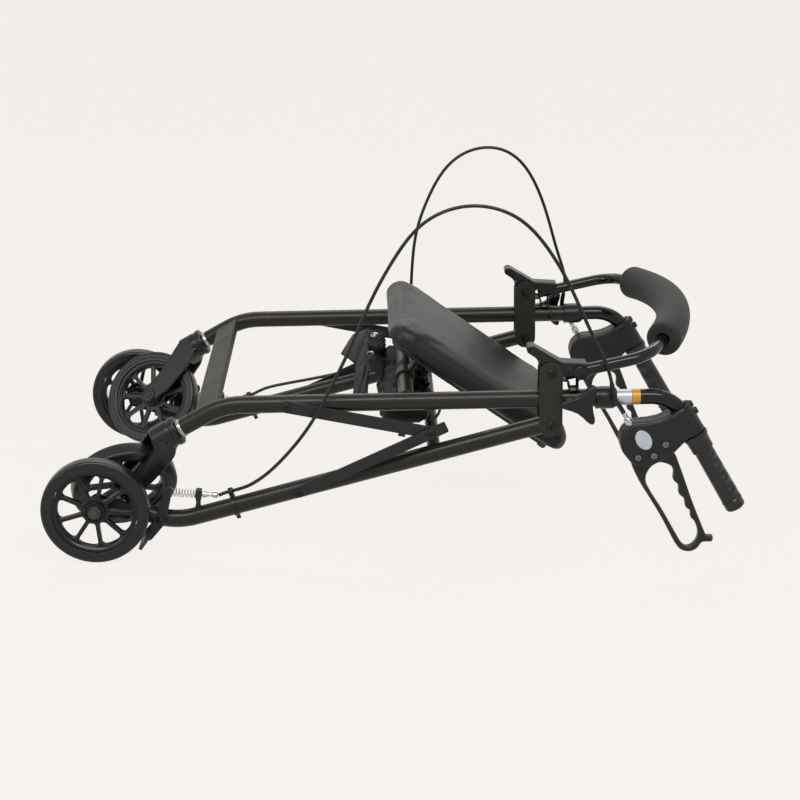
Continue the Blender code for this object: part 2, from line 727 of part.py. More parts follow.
def rim(centre, axis):
    """A rim: a disc with nine windows between the spokes, and a hub bored for the axle."""
    origin = Vector((0.0, 0.0, 0.0))
    windows = []
    half_step = math.pi / SPOKES
    inner_r = HUB_R + 0.0015
    for i in range(SPOKES):
        middle = 2 * half_step * i
        edge_in = half_step - SPOKE_W / 2 / inner_r
        edge_out = half_step - SPOKE_W / 2 / WINDOW_R
        points = [(inner_r, middle - edge_in), (inner_r, middle + edge_in),
                  (WINDOW_R, middle + edge_out), (WINDOW_R + 0.0010, middle),
                  (WINDOW_R, middle - edge_out)]
        windows.append([(r * math.cos(a), r * math.sin(a)) for r, a in points])
    web = slab("web", [circle(origin, RIM_R, 27), *windows], 0.0, RIM_W)
    half_hub = HUB_W / 2
    boss = rod("hub", origin, ACROSS, HUB_R, -half_hub, half_hub, 14)
    bore = rod("bore", origin, ACROSS, AXLE_R + HOLE_EASE, -0.02, 0.02)
    wheel = without(united([web, boss]), [bore])
    wheel.matrix_world = aligned(centre, axis) @ aligned(origin, ACROSS).inverted() @ wheel.matrix_world
    return wheel


def tyre(centre, axis):
    """A solid tyre with rounded shoulders round the rim."""
    half = TYRE_W / 2
    seat = RIM_R + 2 * FIT
    section = [(WHEEL_R, half * 0.45), (WHEEL_R, -half * 0.45), (WHEEL_R - 0.0050, -half),
               (seat, -half), (seat, half), (WHEEL_R - 0.0050, half)]
    return turned("tyre", section, centre, axis, 32, closed=True)


for side in SIDES:
    name = side_name(side)
    hub = side_point(AXLE, side * WHEEL_MID)
    carrier = body(f"rear_wheel_{name}", hub)
    finished(f"rear_rim_{name}", rim(hub, side * ACROSS), carrier, BLACK_PLASTIC)
    finished(f"rear_tyre_{name}", tyre(hub, side * ACROSS), carrier, RUBBER)

# Casters: a moulded fork that turns on the stem's stud, and its wheel


def caster_axes(side):
    """Trail and axle directions of a caster, turned about its stem."""
    turn = CASTER_TURN[side]
    trail = -(math.cos(turn) * STEM_UP + math.sin(turn) * side * ACROSS)
    return trail, trail.cross(STEM_DIR)


for side in SIDES:
    name = side_name(side)
    end = side_point(STEM_END, side * HALF)
    trail, axle_dir = caster_axes(side)
    carrier = body(f"caster_{name}", end)
    place = Matrix.Translation(end) @ basis(trail, axle_dir, -STEM_DIR)
    cup_r = 0.0205
    leg_in = TYRE_W / 2 + 0.0030
    leg_out = leg_in + 0.0055
    cup = turned("cup", [(0, -0.0066), (cup_r - 0.002, -0.0066), (cup_r, -0.0090), (cup_r - 0.0008, -0.0440),
                         (0, -0.0440)], Vector((0, 0, 0)), Vector((0, 0, 1)), 16)
    crown = box("crown", (0.0085, 0, -0.0374), (0.0400, 2 * leg_out - 0.001, 0.0160))
    fork = united([cup, crown])
    axle_at = Vector((CASTER_TRAIL, 0.0, -CASTER_DROP))
    for hand in SIDES:
        arm = [(-0.0140, -0.0300), (-0.0100, -0.0440), (0.0180, -0.0900), (0.0325, -0.1250),
               (0.0345, -0.1335), (0.0410, -0.1375), (0.0490, -0.1375), (0.0555, -0.1335),
               (0.0575, -0.1250), (0.0530, -0.0920), (0.0360, -0.0500), (0.0290, -0.0320)]
        blade = slab("blade", [arm], hand * (leg_in + leg_out) / 2, leg_out - leg_in)
        fork = united([fork, blade])
    stud_hole = rod("hole", Vector((0, 0, 0)), Vector((0, 0, 1)), STUD_R + 0.0004, -0.0415, 0.01)
    fork = without(fork, [stud_hole])
    pin = turned("pin", [(0, leg_out + 0.0026), (0.0050, leg_out + 0.0024), (0.0078, leg_out + 0.0012),
                         (0.0078, leg_out - 0.001), (AXLE_R, leg_out - 0.001),
                         (AXLE_R, 0.001 - leg_out), (0.0078, 0.001 - leg_out), (0.0078, -leg_out - 0.0012),
                         (0.0050, -leg_out - 0.0024), (0, -leg_out - 0.0026)], axle_at, ACROSS)
    fork = united([fork, pin])
    fork.matrix_world = place @ fork.matrix_world
    finished(f"caster_fork_{name}", fork, carrier, BLACK_PLASTIC)
    hub = place @ axle_at
    wheel = body(f"caster_wheel_{name}", hub)
    finished(f"caster_rim_{name}", rim(hub, axle_dir), wheel, BLACK_PLASTIC)
    finished(f"caster_tyre_{name}", tyre(hub, axle_dir), wheel, RUBBER)

# Seat: a padded vinyl cushion on a board, held to the hinge tube by two steel straps

seat = body("seat", SEAT_HINGE)
SEAT_FRAME = Matrix.Translation(SEAT_HINGE) @ basis(SEAT_DIR, ACROSS, SEAT_UP)
pad_base = SEAT_LIFT + BOARD_T + FIT
seat_mid = SEAT_L / 2 - SEAT_AHEAD


def cushion(name):
    """A crowned pad whose sides draw in between the corners, from a coarse cage."""
    mesh = bpy.data.meshes.new(name)
    work = bmesh.new()
    bmesh.ops.create_grid(work, x_segments=4, y_segments=4, size=0.5)
    top = list(work.verts)
    made = bmesh.ops.extrude_face_region(work, geom=list(work.faces))
    low = [v for v in made["geom"] if isinstance(v, bmesh.types.BMVert)]
    for v in low:
        v.co.z = -1.0
    bmesh.ops.recalc_face_normals(work, faces=work.faces)
    for v in work.verts:
        a, b = 2 * v.co.x, 2 * v.co.y
        draw = 1.0 - 0.010 * (1 - min(abs(a), 1) ** 2) * (abs(b) > 0.99)
        pull = 1.0 - 0.010 * (1 - min(abs(b), 1) ** 2) * (abs(a) > 0.99)
        crown = 0.0022 * (1 - a * a) * (1 - b * b)
        is_top = v.co.z > -0.5
        v.co.x = v.co.x * SEAT_L * pull
        v.co.y = v.co.y * SEAT_W * draw
        v.co.z = (PAD_T - 0.0022 + crown) if is_top else 0.0
    work.to_mesh(mesh)
    work.free()
    obj = loose(name, mesh)
    rounding = obj.modifiers.new("rounding", "BEVEL")
    rounding.width = 0.0125
    rounding.segments = 3
    rounding.limit_method = "ANGLE"
    rounding.angle_limit = math.radians(50)
    return baked(obj)


pad = cushion("pad")
pad.matrix_world = SEAT_FRAME @ Matrix.Translation((seat_mid, 0, pad_base))
finished("seat_pad", pad, seat, VINYL, 60.0)
board = box("board", (seat_mid, 0, SEAT_LIFT + BOARD_T / 2), (SEAT_L - 0.030, SEAT_W - 0.030, BOARD_T))
board.matrix_world = SEAT_FRAME
finished("seat_board", board, seat, BLACK_PLASTIC)

for side in SIDES:
    strap_y = side * STRAP_OUT
    strap_top = SEAT_LIFT - FIT
    strip = box("strip", (seat_mid, strap_y, strap_top - STRAP_T / 2), (SEAT_L - 0.060, STRAP_W, STRAP_T))
    sleeve_r = SEAT_TUBE_R + HOLE_EASE
    ring = turned("ring", [(sleeve_r + 0.003, STRAP_W / 2), (sleeve_r + 0.003, -STRAP_W / 2),
                           (sleeve_r, -STRAP_W / 2), (sleeve_r, STRAP_W / 2)],
                  Vector((0, strap_y, 0)), ACROSS, 14, closed=True)
    web_low = sleeve_r + 0.0015
    web = box("web", (0, strap_y, (web_low + strap_top - 0.001) / 2),
              (0.006, STRAP_W - 0.001, strap_top - 0.001 - web_low))
    foot = strap_top - STRAP_T
    bumper = turned("bumper", [(0, foot + 0.001), (0.0085, foot + 0.001), (0.0075, foot - BUMPER_H),
                               (0, foot - BUMPER_H)],
                    Vector((BUMPER_AT, strap_y, 0)), Vector((0, 0, 1)))
    strap = united([strip, ring, web, bumper])
    strap.matrix_world = SEAT_FRAME @ strap.matrix_world
    finished(f"seat_strap_{side_name(side)}", strap, seat, PLATE_PAINT)

# Storage pouch: a fabric bag hung on the seat's hinge tube, with its flap turned back

POUCH_W = 0.270
POUCH_LOOP_OUT = 0.055   # from the middle to each hanging loop
POUCH_LOOP_W = 0.028
FLAP_L = 0.150
pouch_x = SEAT_HINGE.x - 0.0015
pouch_top = SEAT_HINGE.z - SEAT_TUBE_R - 0.0045
pouch_low = pouch_top - 0.050
sack = box("sack", (pouch_x, 0, (pouch_top + pouch_low) / 2), (0.078, POUCH_W, pouch_top - pouch_low),
           bevel=0.012, segments=2)
flap_slope = basis(heading(math.radians(-52)), ACROSS, heading(math.radians(38)))
flap = box("flap", (pouch_x - 0.0540, 0.055, pouch_top - 0.0020), (0.056, FLAP_L, 0.016), flap_slope,
           bevel=0.0065, segments=1)
pouch = united([sack, flap])
for side in SIDES:
    loop_r = SEAT_TUBE_R + FIT
    loop_y = side * POUCH_LOOP_OUT
    loop = turned("loop", [(loop_r + 0.002, POUCH_LOOP_W / 2), (loop_r + 0.002, -POUCH_LOOP_W / 2),
                           (loop_r, -POUCH_LOOP_W / 2), (loop_r, POUCH_LOOP_W / 2)],
                  SEAT_HINGE + loop_y * ACROSS, ACROSS, 12, closed=True)
    tab = box("tab", (SEAT_HINGE.x - 0.001, loop_y, pouch_top + 0.0005), (0.014, POUCH_LOOP_W, 0.0070))
    tube_room = rod("room", SEAT_HINGE, ACROSS, loop_r, -HALF, HALF)
    tab = without(tab, [tube_room])
    pouch = united([pouch, tab, loop])
finished("storage_pouch", pouch, front_frame, FABRIC)

# Backrest brackets, which turn on the plates' upper bolts

backrest = body("backrest", BACKREST_PIVOT)
BRACKET_T = 2 * (TUBE_R - FIT)
MOUTH = BACKREST_PIVOT + Vector((0.0508, 0.0, 0.0017))   # the arm's axis at the bracket's end
FOOT_RIGHT = front(PLATE_STATION + 0.0396, TUBE_R + FIT) - BACKREST_PIVOT
FOOT_LEFT = front(PLATE_STATION + 0.0256, TUBE_R + FIT) - BACKREST_PIVOT
for side in SIDES:
    outline = [(0.0141, 0.0190), (0.0508, 0.0150), (0.0508, -0.0100), (0.0395, -0.0105),
               (FOOT_RIGHT.x, FOOT_RIGHT.z), (FOOT_LEFT.x, FOOT_LEFT.z), (0.0240, -0.0105), (0.0080, -0.0140),
               (-0.0100, -0.0125), (-0.0155, 0.0079), (-0.0197, 0.0243), (-0.0324, 0.0350),
               (-0.0335, 0.0385), (-0.0300, 0.0420), (-0.0260, 0.0425)]
    shape = [(BACKREST_PIVOT.x + x, BACKREST_PIVOT.z + z) for x, z in outline]
    pivot_hole = circle(BACKREST_PIVOT, BOLT_R + HOLE_EASE, 12)
    bracket = slab("bracket", [shape, pivot_hole], side * HALF, BRACKET_T)
    socket = rod("socket", side_point(MOUTH, side * HALF), ARM_DIR, BAR_R + HOLE_EASE,
                 -SOCKET_DEPTH, 0.03)
    button_at = BACKREST_PIVOT + Vector((0.0400, 0.0, 0.0020))
    face = HALF + BRACKET_T / 2
    recess = rod("recess", button_at, side * ACROSS, BUTTON_R + HOLE_EASE, face - 0.0031, face + 0.01, 14)
    finished(f"backrest_bracket_{side_name(side)}", without(bracket, [socket, recess]), backrest,
             BLACK_PLASTIC)

for side in SIDES:
    name = side_name(side)
    carrier = body(f"lock_button_{name}_seat", side_point(button_at, side * face))
    dome = [(0, face + 0.0052), (BUTTON_R * 0.7, face + 0.0050), (BUTTON_R, face + 0.0038),
            (BUTTON_R, face - 0.0005), (0, face - 0.0005)]
    cap = turned("cap", dome, button_at, side * ACROSS, 14)
    finished(f"lock_button_{name}", cap, carrier, BLACK_PLASTIC)

# Backrest bar: a tube bent into a wide curve, pushed into the two brackets, with foam on it

bar_body = body("backrest_bar_seat", MOUTH)
centre_back = ARC_APEX - ARC_R
fillet_y = HALF - BAR_BEND_R
fillet_x = centre_back + math.sqrt((ARC_R - BAR_BEND_R) ** 2 - fillet_y ** 2)
arc_limit = math.degrees(math.asin(fillet_y / (ARC_R - BAR_BEND_R)))


def bar_point(along, y):
    """Point in the plane of the backrest bar."""
    return MOUTH + along * ARM_DIR + y * ACROSS


def bar_path():
    """Left arm, left bend, the long arc, right bend and right arm."""
    half = [bar_point(FIT - SOCKET_DEPTH, -HALF)]
    bend_turn = 90.0 - arc_limit
    for i in range(7):
        a = math.radians(180.0 + 90.0 + bend_turn * i / 6)
        half.append(bar_point(fillet_x + BAR_BEND_R * math.cos(a), -fillet_y + BAR_BEND_R * math.sin(a)))
    arc = []
    for i in range(-3, 4):
        a = math.radians(FOAM_HALF_ANGLE * i / 3)
        arc.append(bar_point(centre_back + ARC_R * math.cos(a), ARC_R * math.sin(a)))
    mirrored = [Vector((p.x, -p.y, p.z)) for p in reversed(half)]
    return half + arc + mirrored


tube_node("backrest_bar", bar_path(), BAR_R, bar_body, BLACK_GLOSS)
foam_path = [p for p in bar_path() if abs(p.y) <= ARC_R * math.sin(math.radians(FOAM_HALF_ANGLE)) + 1e-5]
foam = baked(tube("foam", foam_path, FOAM_R, 5))
foam = without(foam, [baked(tube("core", bar_path(), BAR_R + FIT))])
finished("backrest_foam", foam, bar_body, FOAM, 50.0)

# Handles: a bent tube that slides in the front tube, with grip, brake housing and fittings

LEVER_PIVOT = (0.0505, 0.0854)
HOUSING_OUTLINE = [(0.0049, 0.0650), (0.0130, 0.0480), (0.0178, 0.0340), (0.0192, 0.0220),
                   (0.0190, 0.0060), (0.0185, -0.0060), (0.0620, -0.0060), (0.0628, 0.0126), (0.0698, 0.0347),
                   (0.0746, 0.0503), (0.0719, 0.0580), (0.0719, 0.0784), (0.0621, 0.0917),
                   (0.0500, 0.0984), (0.0305, 0.1008), (0.0170, 0.0963), (0.0070, 0.0862),
                   (0.0040, 0.0740)]
SLOT_OUTLINE = [(0.0340, 0.1150), (0.0340, 0.0700), (0.0270, 0.0600), (0.0250, 0.0220),
                (0.1000, 0.0200), (0.1000, 0.1150)]
LEVER_OUTLINE = [(0.0398, 0.0820), (0.0440, 0.0940), (0.0623, 0.0995), (0.0874, 0.1016),
                 (0.1151, 0.1010), (0.1536, 0.1004), (0.1973, 0.1021), (0.2127, 0.0990),
                 (0.2212, 0.0895), (0.2220, 0.0780), (0.2178, 0.0680), (0.2212, 0.0600),
                 (0.2235, 0.0545), (0.2173, 0.0500), (0.2114, 0.0570), (0.1979, 0.0560),
                 (0.1562, 0.0505), (0.0995, 0.0407), (0.0746, 0.0380), (0.0561, 0.0450),
                 (0.0460, 0.0640)]
LOOP_OUTLINE = [(0.0777, 0.0630), (0.0803, 0.0790), (0.0910, 0.0900), (0.1063, 0.0940),
                (0.1448, 0.0932), (0.1827, 0.0942), (0.2060, 0.0935), (0.2137, 0.0860),
                (0.2101, 0.0732), (0.1989, 0.0650), (0.1834, 0.0622), (0.1746, 0.0638),
                (0.1655, 0.0600), (0.1562, 0.0626), (0.1449, 0.0588), (0.1337, 0.0614),
                (0.1218, 0.0562), (0.1102, 0.0584), (0.0998, 0.0524), (0.0890, 0.0520)]
LEVER_REACH = 0.0768     # level distance from the lever's pivot to its lowest point
ADJUSTER_AT = (0.0030, 0.0714)
ADJUSTER_OUT = 0.0120    # the cable enters the housing this far outside its middle


def handle_outline(side, points):
    """Handle coordinates, along and down, as a side-view outline."""
    return flat([grip_point(side, a, d) for a, d in points])


def pressed(side, outline):
    """A lever's outline turned a little about its pivot, so both loops meet the floor.

    The lowered handle's lever would reach below the floor, which presses it in.
    """
    pivot = grip_point(side, *LEVER_PIVOT)
    turn = lowered(side) * FRONT_DIR.z / LEVER_REACH
    c, s = math.cos(turn), math.sin(turn)
    return [(pivot.x + (x - pivot.x) * c - (z - pivot.z) * s,
             pivot.z + (x - pivot.x) * s + (z - pivot.z) * c) for x, z in outline]


def handle_path(side):
    """Centre line of a handle tube: up the front tube, round the bend, along the grip."""
    corners = [front(HANDLE_BELOW - lowered(side)), grip_point(side, 0.0, 0.0),
               grip_point(side, GRIP_END - 0.010, 0.0)]
    return filleted([side_point(p, side * HALF) for p in corners], [HANDLE_BEND_R])


def grip(side):
    """A closed rubber grip with a collar at its top and a thicker end."""
    start = side_point(grip_point(side, GRIP_START, 0.0), side * HALF)
    length = GRIP_END - GRIP_START
    profile = [(0, length), (GRIP_R - 0.0030, length), (GRIP_R, length - 0.0030),
               (GRIP_R + 0.0003, length - 0.0120), (GRIP_R - 0.0008, length - 0.0200),
               (0.0136, 0.0240), (0.0150, 0.0090), (0.0166, 0.0060), (0.0166, 0.0015),
               (0.0155, 0), (0, 0)]
    solid = turned("grip", profile, start, GRIP_DIR, 14)
    room = rod("room", start, GRIP_DIR, HANDLE_R + FIT, -0.01, length - 0.010 + FIT)
    return without(solid, [room])


for side in SIDES:
    name = side_name(side)
    carrier = body(f"handle_{name}", side_point(grip_point(side, 0.0, 0.0), side * HALF))
    bar = baked(tube("bar", handle_path(side), HANDLE_R))
    holes = []
    for i in range(HEIGHT_HOLES):
        station = KNOB_STATION + HEIGHT_PITCH - lowered(side) - i * HEIGHT_PITCH
        holes.append(rod("hole", front(station), side * ACROSS, 0.0034, HALF - 0.02, HALF + 0.02, 6))
    finished(f"handle_tube_{name}", without(bar, holes), carrier, BLACK_GLOSS)
    finished(f"grip_{name}", grip(side), carrier, RUBBER)

    outline = handle_outline(side, HOUSING_OUTLINE)
    plate = slab("plate", [outline], side * HALF, HOUSING_T)
    sleeve_at = side_point(grip_point(side, 0.0, 0.0), side * HALF)
    sleeve = rod("sleeve", sleeve_at, GRIP_DIR, SLEEVE_R, 0.0185, GRIP_START - 0.0015, 14)
    housing = united([plate, sleeve])
    room = baked(tube("room", handle_path(side), HANDLE_R + FIT))
    slot = slab("slot", [handle_outline(side, SLOT_OUTLINE)], side * HALF, LEVER_T + 0.0012)
    housing = without(housing, [room, slot])
    face = HALF + HOUSING_T / 2
    back = HALF - HOUSING_T / 2
    sunk = 0.0010
    pin = [(0, face + 0.0020), (0.0040, face + 0.0020), (0.0048, face + 0.0012), (0.0048, face - sunk),
           (0.0030, face - sunk), (0.0030, back + sunk), (0.0048, back + sunk), (0.0048, back - 0.0020),
           (0, back - 0.0020)]
    details = [turned("pin", pin, grip_point(side, *LEVER_PIVOT), side * ACROSS, 8)]
    disc = [grip_point(side, 0.0307 + 0.0155 * math.cos(a), 0.0659 + 0.0108 * math.sin(a))
            for a in (2 * math.pi * i / 16 for i in range(16))]
    details.append(slab("disc", [flat(disc)], side * face, 2 * sunk))
    screw = side_point(grip_point(side, 0.0310, -SLEEVE_R), side * HALF)
    details.append(rod("clamp_screw", screw, -GRIP_DOWN, 0.0052, -0.0015, 0.0045, 8))
    finished(f"brake_housing_{name}", united([housing, *details]), carrier, BLACK_PLASTIC)

    barrel = [(0, 0.0205), (0.0030, 0.0205), (0.0036, 0.0195), (0.0036, 0.0120), (0.0046, 0.0110),
              (0.0046, 0.0030), (0.0032, 0.0028), (0.0032, FIT), (0, FIT)]
    mouth = side_point(grip_point(side, *ADJUSTER_AT), side * (HALF + ADJUSTER_OUT))
    adjuster = turned("barrel", barrel, mouth, -GRIP_DIR, 10)
    finished(f"lever_cable_adjuster_{name}", adjuster, carrier, STEEL)

    carrier = body(f"brake_lever_{name}_pivot", side_point(grip_point(side, *LEVER_PIVOT), side * HALF))
    outline = pressed(side, handle_outline(side, through_points(LEVER_OUTLINE, 2)))
    loop = pressed(side, handle_outline(side, through_points(LOOP_OUTLINE, 2)))
    hole = circle(grip_point(side, *LEVER_PIVOT), 0.0033, 12)
    lever = slab("lever", [outline, loop, hole], side * HALF, LEVER_T)
    finished(f"brake_lever_{name}", lever, carrier, BLACK_PLASTIC)

# Height knobs: a three-armed knob on a stud that enters the front tube's wall

for side in SIDES:
    name = side_name(side)
    centre = front(KNOB_STATION)
    carrier = body(f"height_knob_{name}_stud", side_point(centre, side * HALF))
    outline = []
    for i in range(24):
        a = 2 * math.pi * i / 24
        lobe = ((1 + math.cos(3 * (a - math.pi))) / 2) ** 3
        r = 0.0110 + (KNOB_R - 0.0110) * lobe
        outline.append((centre.x + r * math.cos(a), centre.z + r * math.sin(a)))
    arms = slab("arms", [outline], side * (HALF + 0.0320), 0.0130)
    wall = HALF + TUBE_R
    neck = turned("neck", [(0, HALF + 0.0400), (0.0060, HALF + 0.0400), (0.0085, HALF + 0.0375),
                           (0.0095, wall + 0.0080), (0.0095, wall + 0.0009), (BOLT_R, wall + 0.0009),
                           (BOLT_R, HALF + HANDLE_R + FIT), (0, HALF + HANDLE_R + FIT)],
                  centre, side * ACROSS)
    finished(f"height_knob_{name}", united([arms, neck]), carrier, BLACK_PLASTIC)

# Brake arms on the rear legs: a bent flat bar whose shoe presses the tyre

SHOE_GAP = 0.0035
SHOE_T = 0.0050
shoe_angle = math.radians(-35.5)
shoe_dir = heading(shoe_angle)
shoe_mid = AXLE + (WHEEL_R + SHOE_GAP + SHOE_T / 2) * shoe_dir
ARM_W = 0.0150
tab_at = SPRING_LINE - 0.0415 * SPRING_DIR
for side in SIDES:
    name = side_name(side)
    carrier = body(f"brake_arm_{name}_pivot", side_point(BRAKE_PIVOT, side * HALF))
    top = BRAKE_PIVOT + Vector((0.0110, 0.0, 0.0460))
    upper = slab("upper", [hull_of_circles(BRAKE_PIVOT, top, ARM_W / 2, 0.0060)],
                 side * (OUTER + ARM_T / 2), ARM_T)
    lower = slab("lower", [hull_of_circles(BRAKE_PIVOT, shoe_mid + 0.0030 * shoe_dir, ARM_W / 2, 0.0062)],
                 side * (OUTER + ARM_T / 2), ARM_T)
    shoe_y = (OUTER + WHEEL_MID + TYRE_W / 2) / 2
    shoe_w = WHEEL_MID + TYRE_W / 2 - OUTER
    shoe = box("shoe", side_point(shoe_mid, side * shoe_y), (SHOE_T, shoe_w, 0.0170),
               basis(shoe_dir, ACROSS, Vector((-shoe_dir.z, 0.0, shoe_dir.x))), bevel=0.0008, segments=1)
    tab = box("tab", side_point(tab_at, side * (HALF + 0.0035 + ARM_T / 2)),
              (0.0030, 2 * (OUTER + ARM_T - HALF) - 0.0085, 0.0150),
              basis(SPRING_DIR, ACROSS, heading(math.radians(86.5))))
    arm = united([upper, lower, shoe, tab])
    pivot_hole = rod("hole", BRAKE_PIVOT, side * ACROSS, BOLT_R + HOLE_EASE, HALF, HALF + 0.05, 12)
    finished(f"brake_arm_{name}", without(arm, [pivot_hole]), carrier, PLATE_PAINT)


def coil_path(start, end):
    """A coil spring's wire: a helix whose ends run straight for one wire diameter.

    Eight points a turn; the helix angle grows evenly along the spring's length.
    """
    axis = (end - start).normalized()
    side_a = ACROSS
    side_b = axis.cross(side_a)
    per_turn = 8
    steps = SPRING_TURNS * per_turn
    length = (end - start).length
    inset = SPRING_WIRE
    points = []
    for i in range(steps + 1):
        a = 2 * math.pi * i / per_turn
        along = inset + (length - 2 * inset) * i / steps
        points.append(start + axis * along + SPRING_R * (math.cos(a) * side_a + math.sin(a) * side_b))
    first = (points[0] - points[1]).normalized()
    last = (points[-1] - points[-2]).normalized()
    flat_first = (first - axis * first.dot(axis)).normalized() * 2 * SPRING_WIRE
    flat_last = (last - axis * last.dot(axis)).normalized() * 2 * SPRING_WIRE
    return [points[0] + flat_first] + points + [points[-1] + flat_last]


def least_gap(path, radius, skip):
    """Smallest free gap between stretches of a path that are not next to each other."""
    gap = 1.0
    for i, a in enumerate(path):
        for b in path[i + skip:]:
            gap = min(gap, (a - b).length)
    return gap - 2 * radius


spring_start = tab_at + (0.0015 + FIT + SPRING_WIRE) * SPRING_DIR
spring_end = SPRING_LINE - (0.5 * STOP_W + 0.0011) * SPRING_DIR
for side in SIDES:
    path = coil_path(side_point(spring_start, side * HALF), side_point(spring_end, side * HALF))
    tube_node(f"return_spring_{side_name(side)}", path, SPRING_WIRE, rear_frame, STEEL, 1)
    print("return spring gap, mm", round(1000 * least_gap(path, SPRING_WIRE, 6), 2))

# Brake cables: from the housing's adjuster, in a free loop, to the adjuster on the rear leg


def smooth_route(points, spacing):
    """Points at even steps along a Catmull-Rom curve through the route's own points."""
    dense = []
    for i in range(len(points) - 1):
        a, b = points[max(i - 1, 0)], points[i]
        c, d = points[i + 1], points[min(i + 2, len(points) - 1)]
        for j in range(12):
            t = j / 12
            dense.append(0.5 * ((2 * b) + (c - a) * t + (2 * a - 5 * b + 4 * c - d) * t * t
                                + (3 * b - a - 3 * c + d) * t ** 3))
    dense.append(points[-1])
    total = sum((q - p).length for p, q in zip(dense, dense[1:]))
    count = round(total / spacing)
    even = [dense[0]]
    travelled = 0.0
    want = total / count
    for p, q in zip(dense, dense[1:]):
        step = (q - p).length
        while travelled + step >= want * len(even) and len(even) < count:
            even.append(p.lerp(q, (want * len(even) - travelled) / step))
        travelled += step
    even.append(dense[-1])
    return even


# Route points between the clip on the rear leg and the brake housing: x, distance out from
# the frame tube's middle plane, z. The left cable shows whole; the right one drops behind
# the frame on its way back.
LEFT_LOOP = [(-0.2068, 0.0090, 0.1028), (-0.1776, 0.0180, 0.1267), (-0.1346, 0.0240, 0.1786),
             (-0.1168, 0.0250, 0.2057), (-0.0728, 0.0250, 0.2939), (-0.0364, 0.0250, 0.3803),
             (-0.0060, 0.0240, 0.4367), (0.0303, 0.0230, 0.4856), (0.0708, 0.0220, 0.5064),
             (0.1047, 0.0210, 0.5126), (0.1526, 0.0210, 0.5012), (0.1803, 0.0220, 0.4821),
             (0.2233, 0.0230, 0.4266), (0.2605, 0.0240, 0.3531), (0.2876, 0.0225, 0.2948)]
RIGHT_LOOP = [(-0.2068, 0.0090, 0.0990), (-0.1650, 0.0220, 0.1055), (-0.1200, 0.0240, 0.1130),
              (-0.0650, 0.0250, 0.1270), (-0.0150, 0.0250, 0.1500), (0.0170, 0.0250, 0.1800),
              (0.0280, 0.0250, 0.2127), (0.0314, 0.0250, 0.2725), (0.0377, 0.0250, 0.3567),
              (0.0533, 0.0250, 0.4066), (0.0768, 0.0250, 0.4561), (0.1085, 0.0250, 0.4889),
              (0.1518, 0.0250, 0.5014), (0.1891, 0.0250, 0.4927), (0.2225, 0.0250, 0.4571),
              (0.2488, 0.0250, 0.3996), (0.2669, 0.0230, 0.3419), (0.2804, 0.0210, 0.2835)]

low_end = SPRING_LINE + (0.0275 + 4 * FIT) * SPRING_DIR
clip_eye = rear(CABLE_CLIP_AT, CLIP_LIFT)
for side, loop in ((-1, LEFT_LOOP), (1, RIGHT_LOOP)):
    name = side_name(side)
    route = [side_point(low_end, side * HALF)]
    route += [side_point(clip_eye - reach * REAR_DIR, side * HALF) for reach in (-0.007, 0, 0.007)]
    route += [Vector((FRONT_ZERO.x + x, side * (HALF + y), z)) for x, y, z in loop]
    top = grip_point(side, ADJUSTER_AT[0] - 0.0205 - 4 * FIT, ADJUSTER_AT[1])
    out = HALF + ADJUSTER_OUT
    route += [side_point(top - reach * GRIP_DIR, side * (out + bow))
              for reach, bow in ((0.028, 0.0098), (0.013, 0.0062), (0.0, 0.0))]
    path = smooth_route(route, 6 * CABLE_R)
    length = sum((b - a).length for a, b in zip(path, path[1:]))
    print("brake cable", name, "length, mm", round(1000 * length), "points", len(path))
    tube_node(f"brake_cable_{name}", path, CABLE_R, front_frame, BLACK_PLASTIC, 2)

bpy.context.view_layer.update()
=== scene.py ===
"""Looks of a folding four-wheeled walker, folded up and lying on its back.

+X runs from the wheels to the handles, +Y to the walker's right side and +Z is up. Metres.
The pieces follow in the order in which the walker is put together.
"""

import math

import bmesh
import bpy
import numpy as np
from mathutils import Matrix, Vector, geometry


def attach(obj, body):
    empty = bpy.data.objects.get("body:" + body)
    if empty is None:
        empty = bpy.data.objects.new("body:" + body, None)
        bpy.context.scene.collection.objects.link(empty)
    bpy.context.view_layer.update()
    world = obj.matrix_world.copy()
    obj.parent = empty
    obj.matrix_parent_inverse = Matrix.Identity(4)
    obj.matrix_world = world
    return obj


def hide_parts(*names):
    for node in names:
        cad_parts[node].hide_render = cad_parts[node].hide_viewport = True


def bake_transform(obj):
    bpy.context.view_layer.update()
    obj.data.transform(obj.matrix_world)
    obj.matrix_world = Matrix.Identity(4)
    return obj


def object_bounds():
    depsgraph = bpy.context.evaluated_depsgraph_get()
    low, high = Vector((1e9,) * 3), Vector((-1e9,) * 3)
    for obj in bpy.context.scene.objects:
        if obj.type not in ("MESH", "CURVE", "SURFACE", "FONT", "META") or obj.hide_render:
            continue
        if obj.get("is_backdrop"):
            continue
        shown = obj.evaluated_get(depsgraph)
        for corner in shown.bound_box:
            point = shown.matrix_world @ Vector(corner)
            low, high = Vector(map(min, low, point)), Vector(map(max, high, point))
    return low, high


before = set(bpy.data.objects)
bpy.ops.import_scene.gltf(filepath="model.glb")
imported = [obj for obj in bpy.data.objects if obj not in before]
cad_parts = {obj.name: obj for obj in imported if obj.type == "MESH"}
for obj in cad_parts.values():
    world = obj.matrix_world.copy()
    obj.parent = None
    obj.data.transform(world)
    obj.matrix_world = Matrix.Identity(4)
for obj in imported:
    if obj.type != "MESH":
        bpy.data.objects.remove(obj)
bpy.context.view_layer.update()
scene = bpy.context.scene
scene.view_settings.view_transform = "Standard"

# Floor, light and camera
# A pale sweep of paper on the floor, a long narrow soft lamp above the walker on the
# camera's side, and weaker ones behind it and at its wheels; seen from its left side.

PAPER = (0.913, 0.888, 0.847)


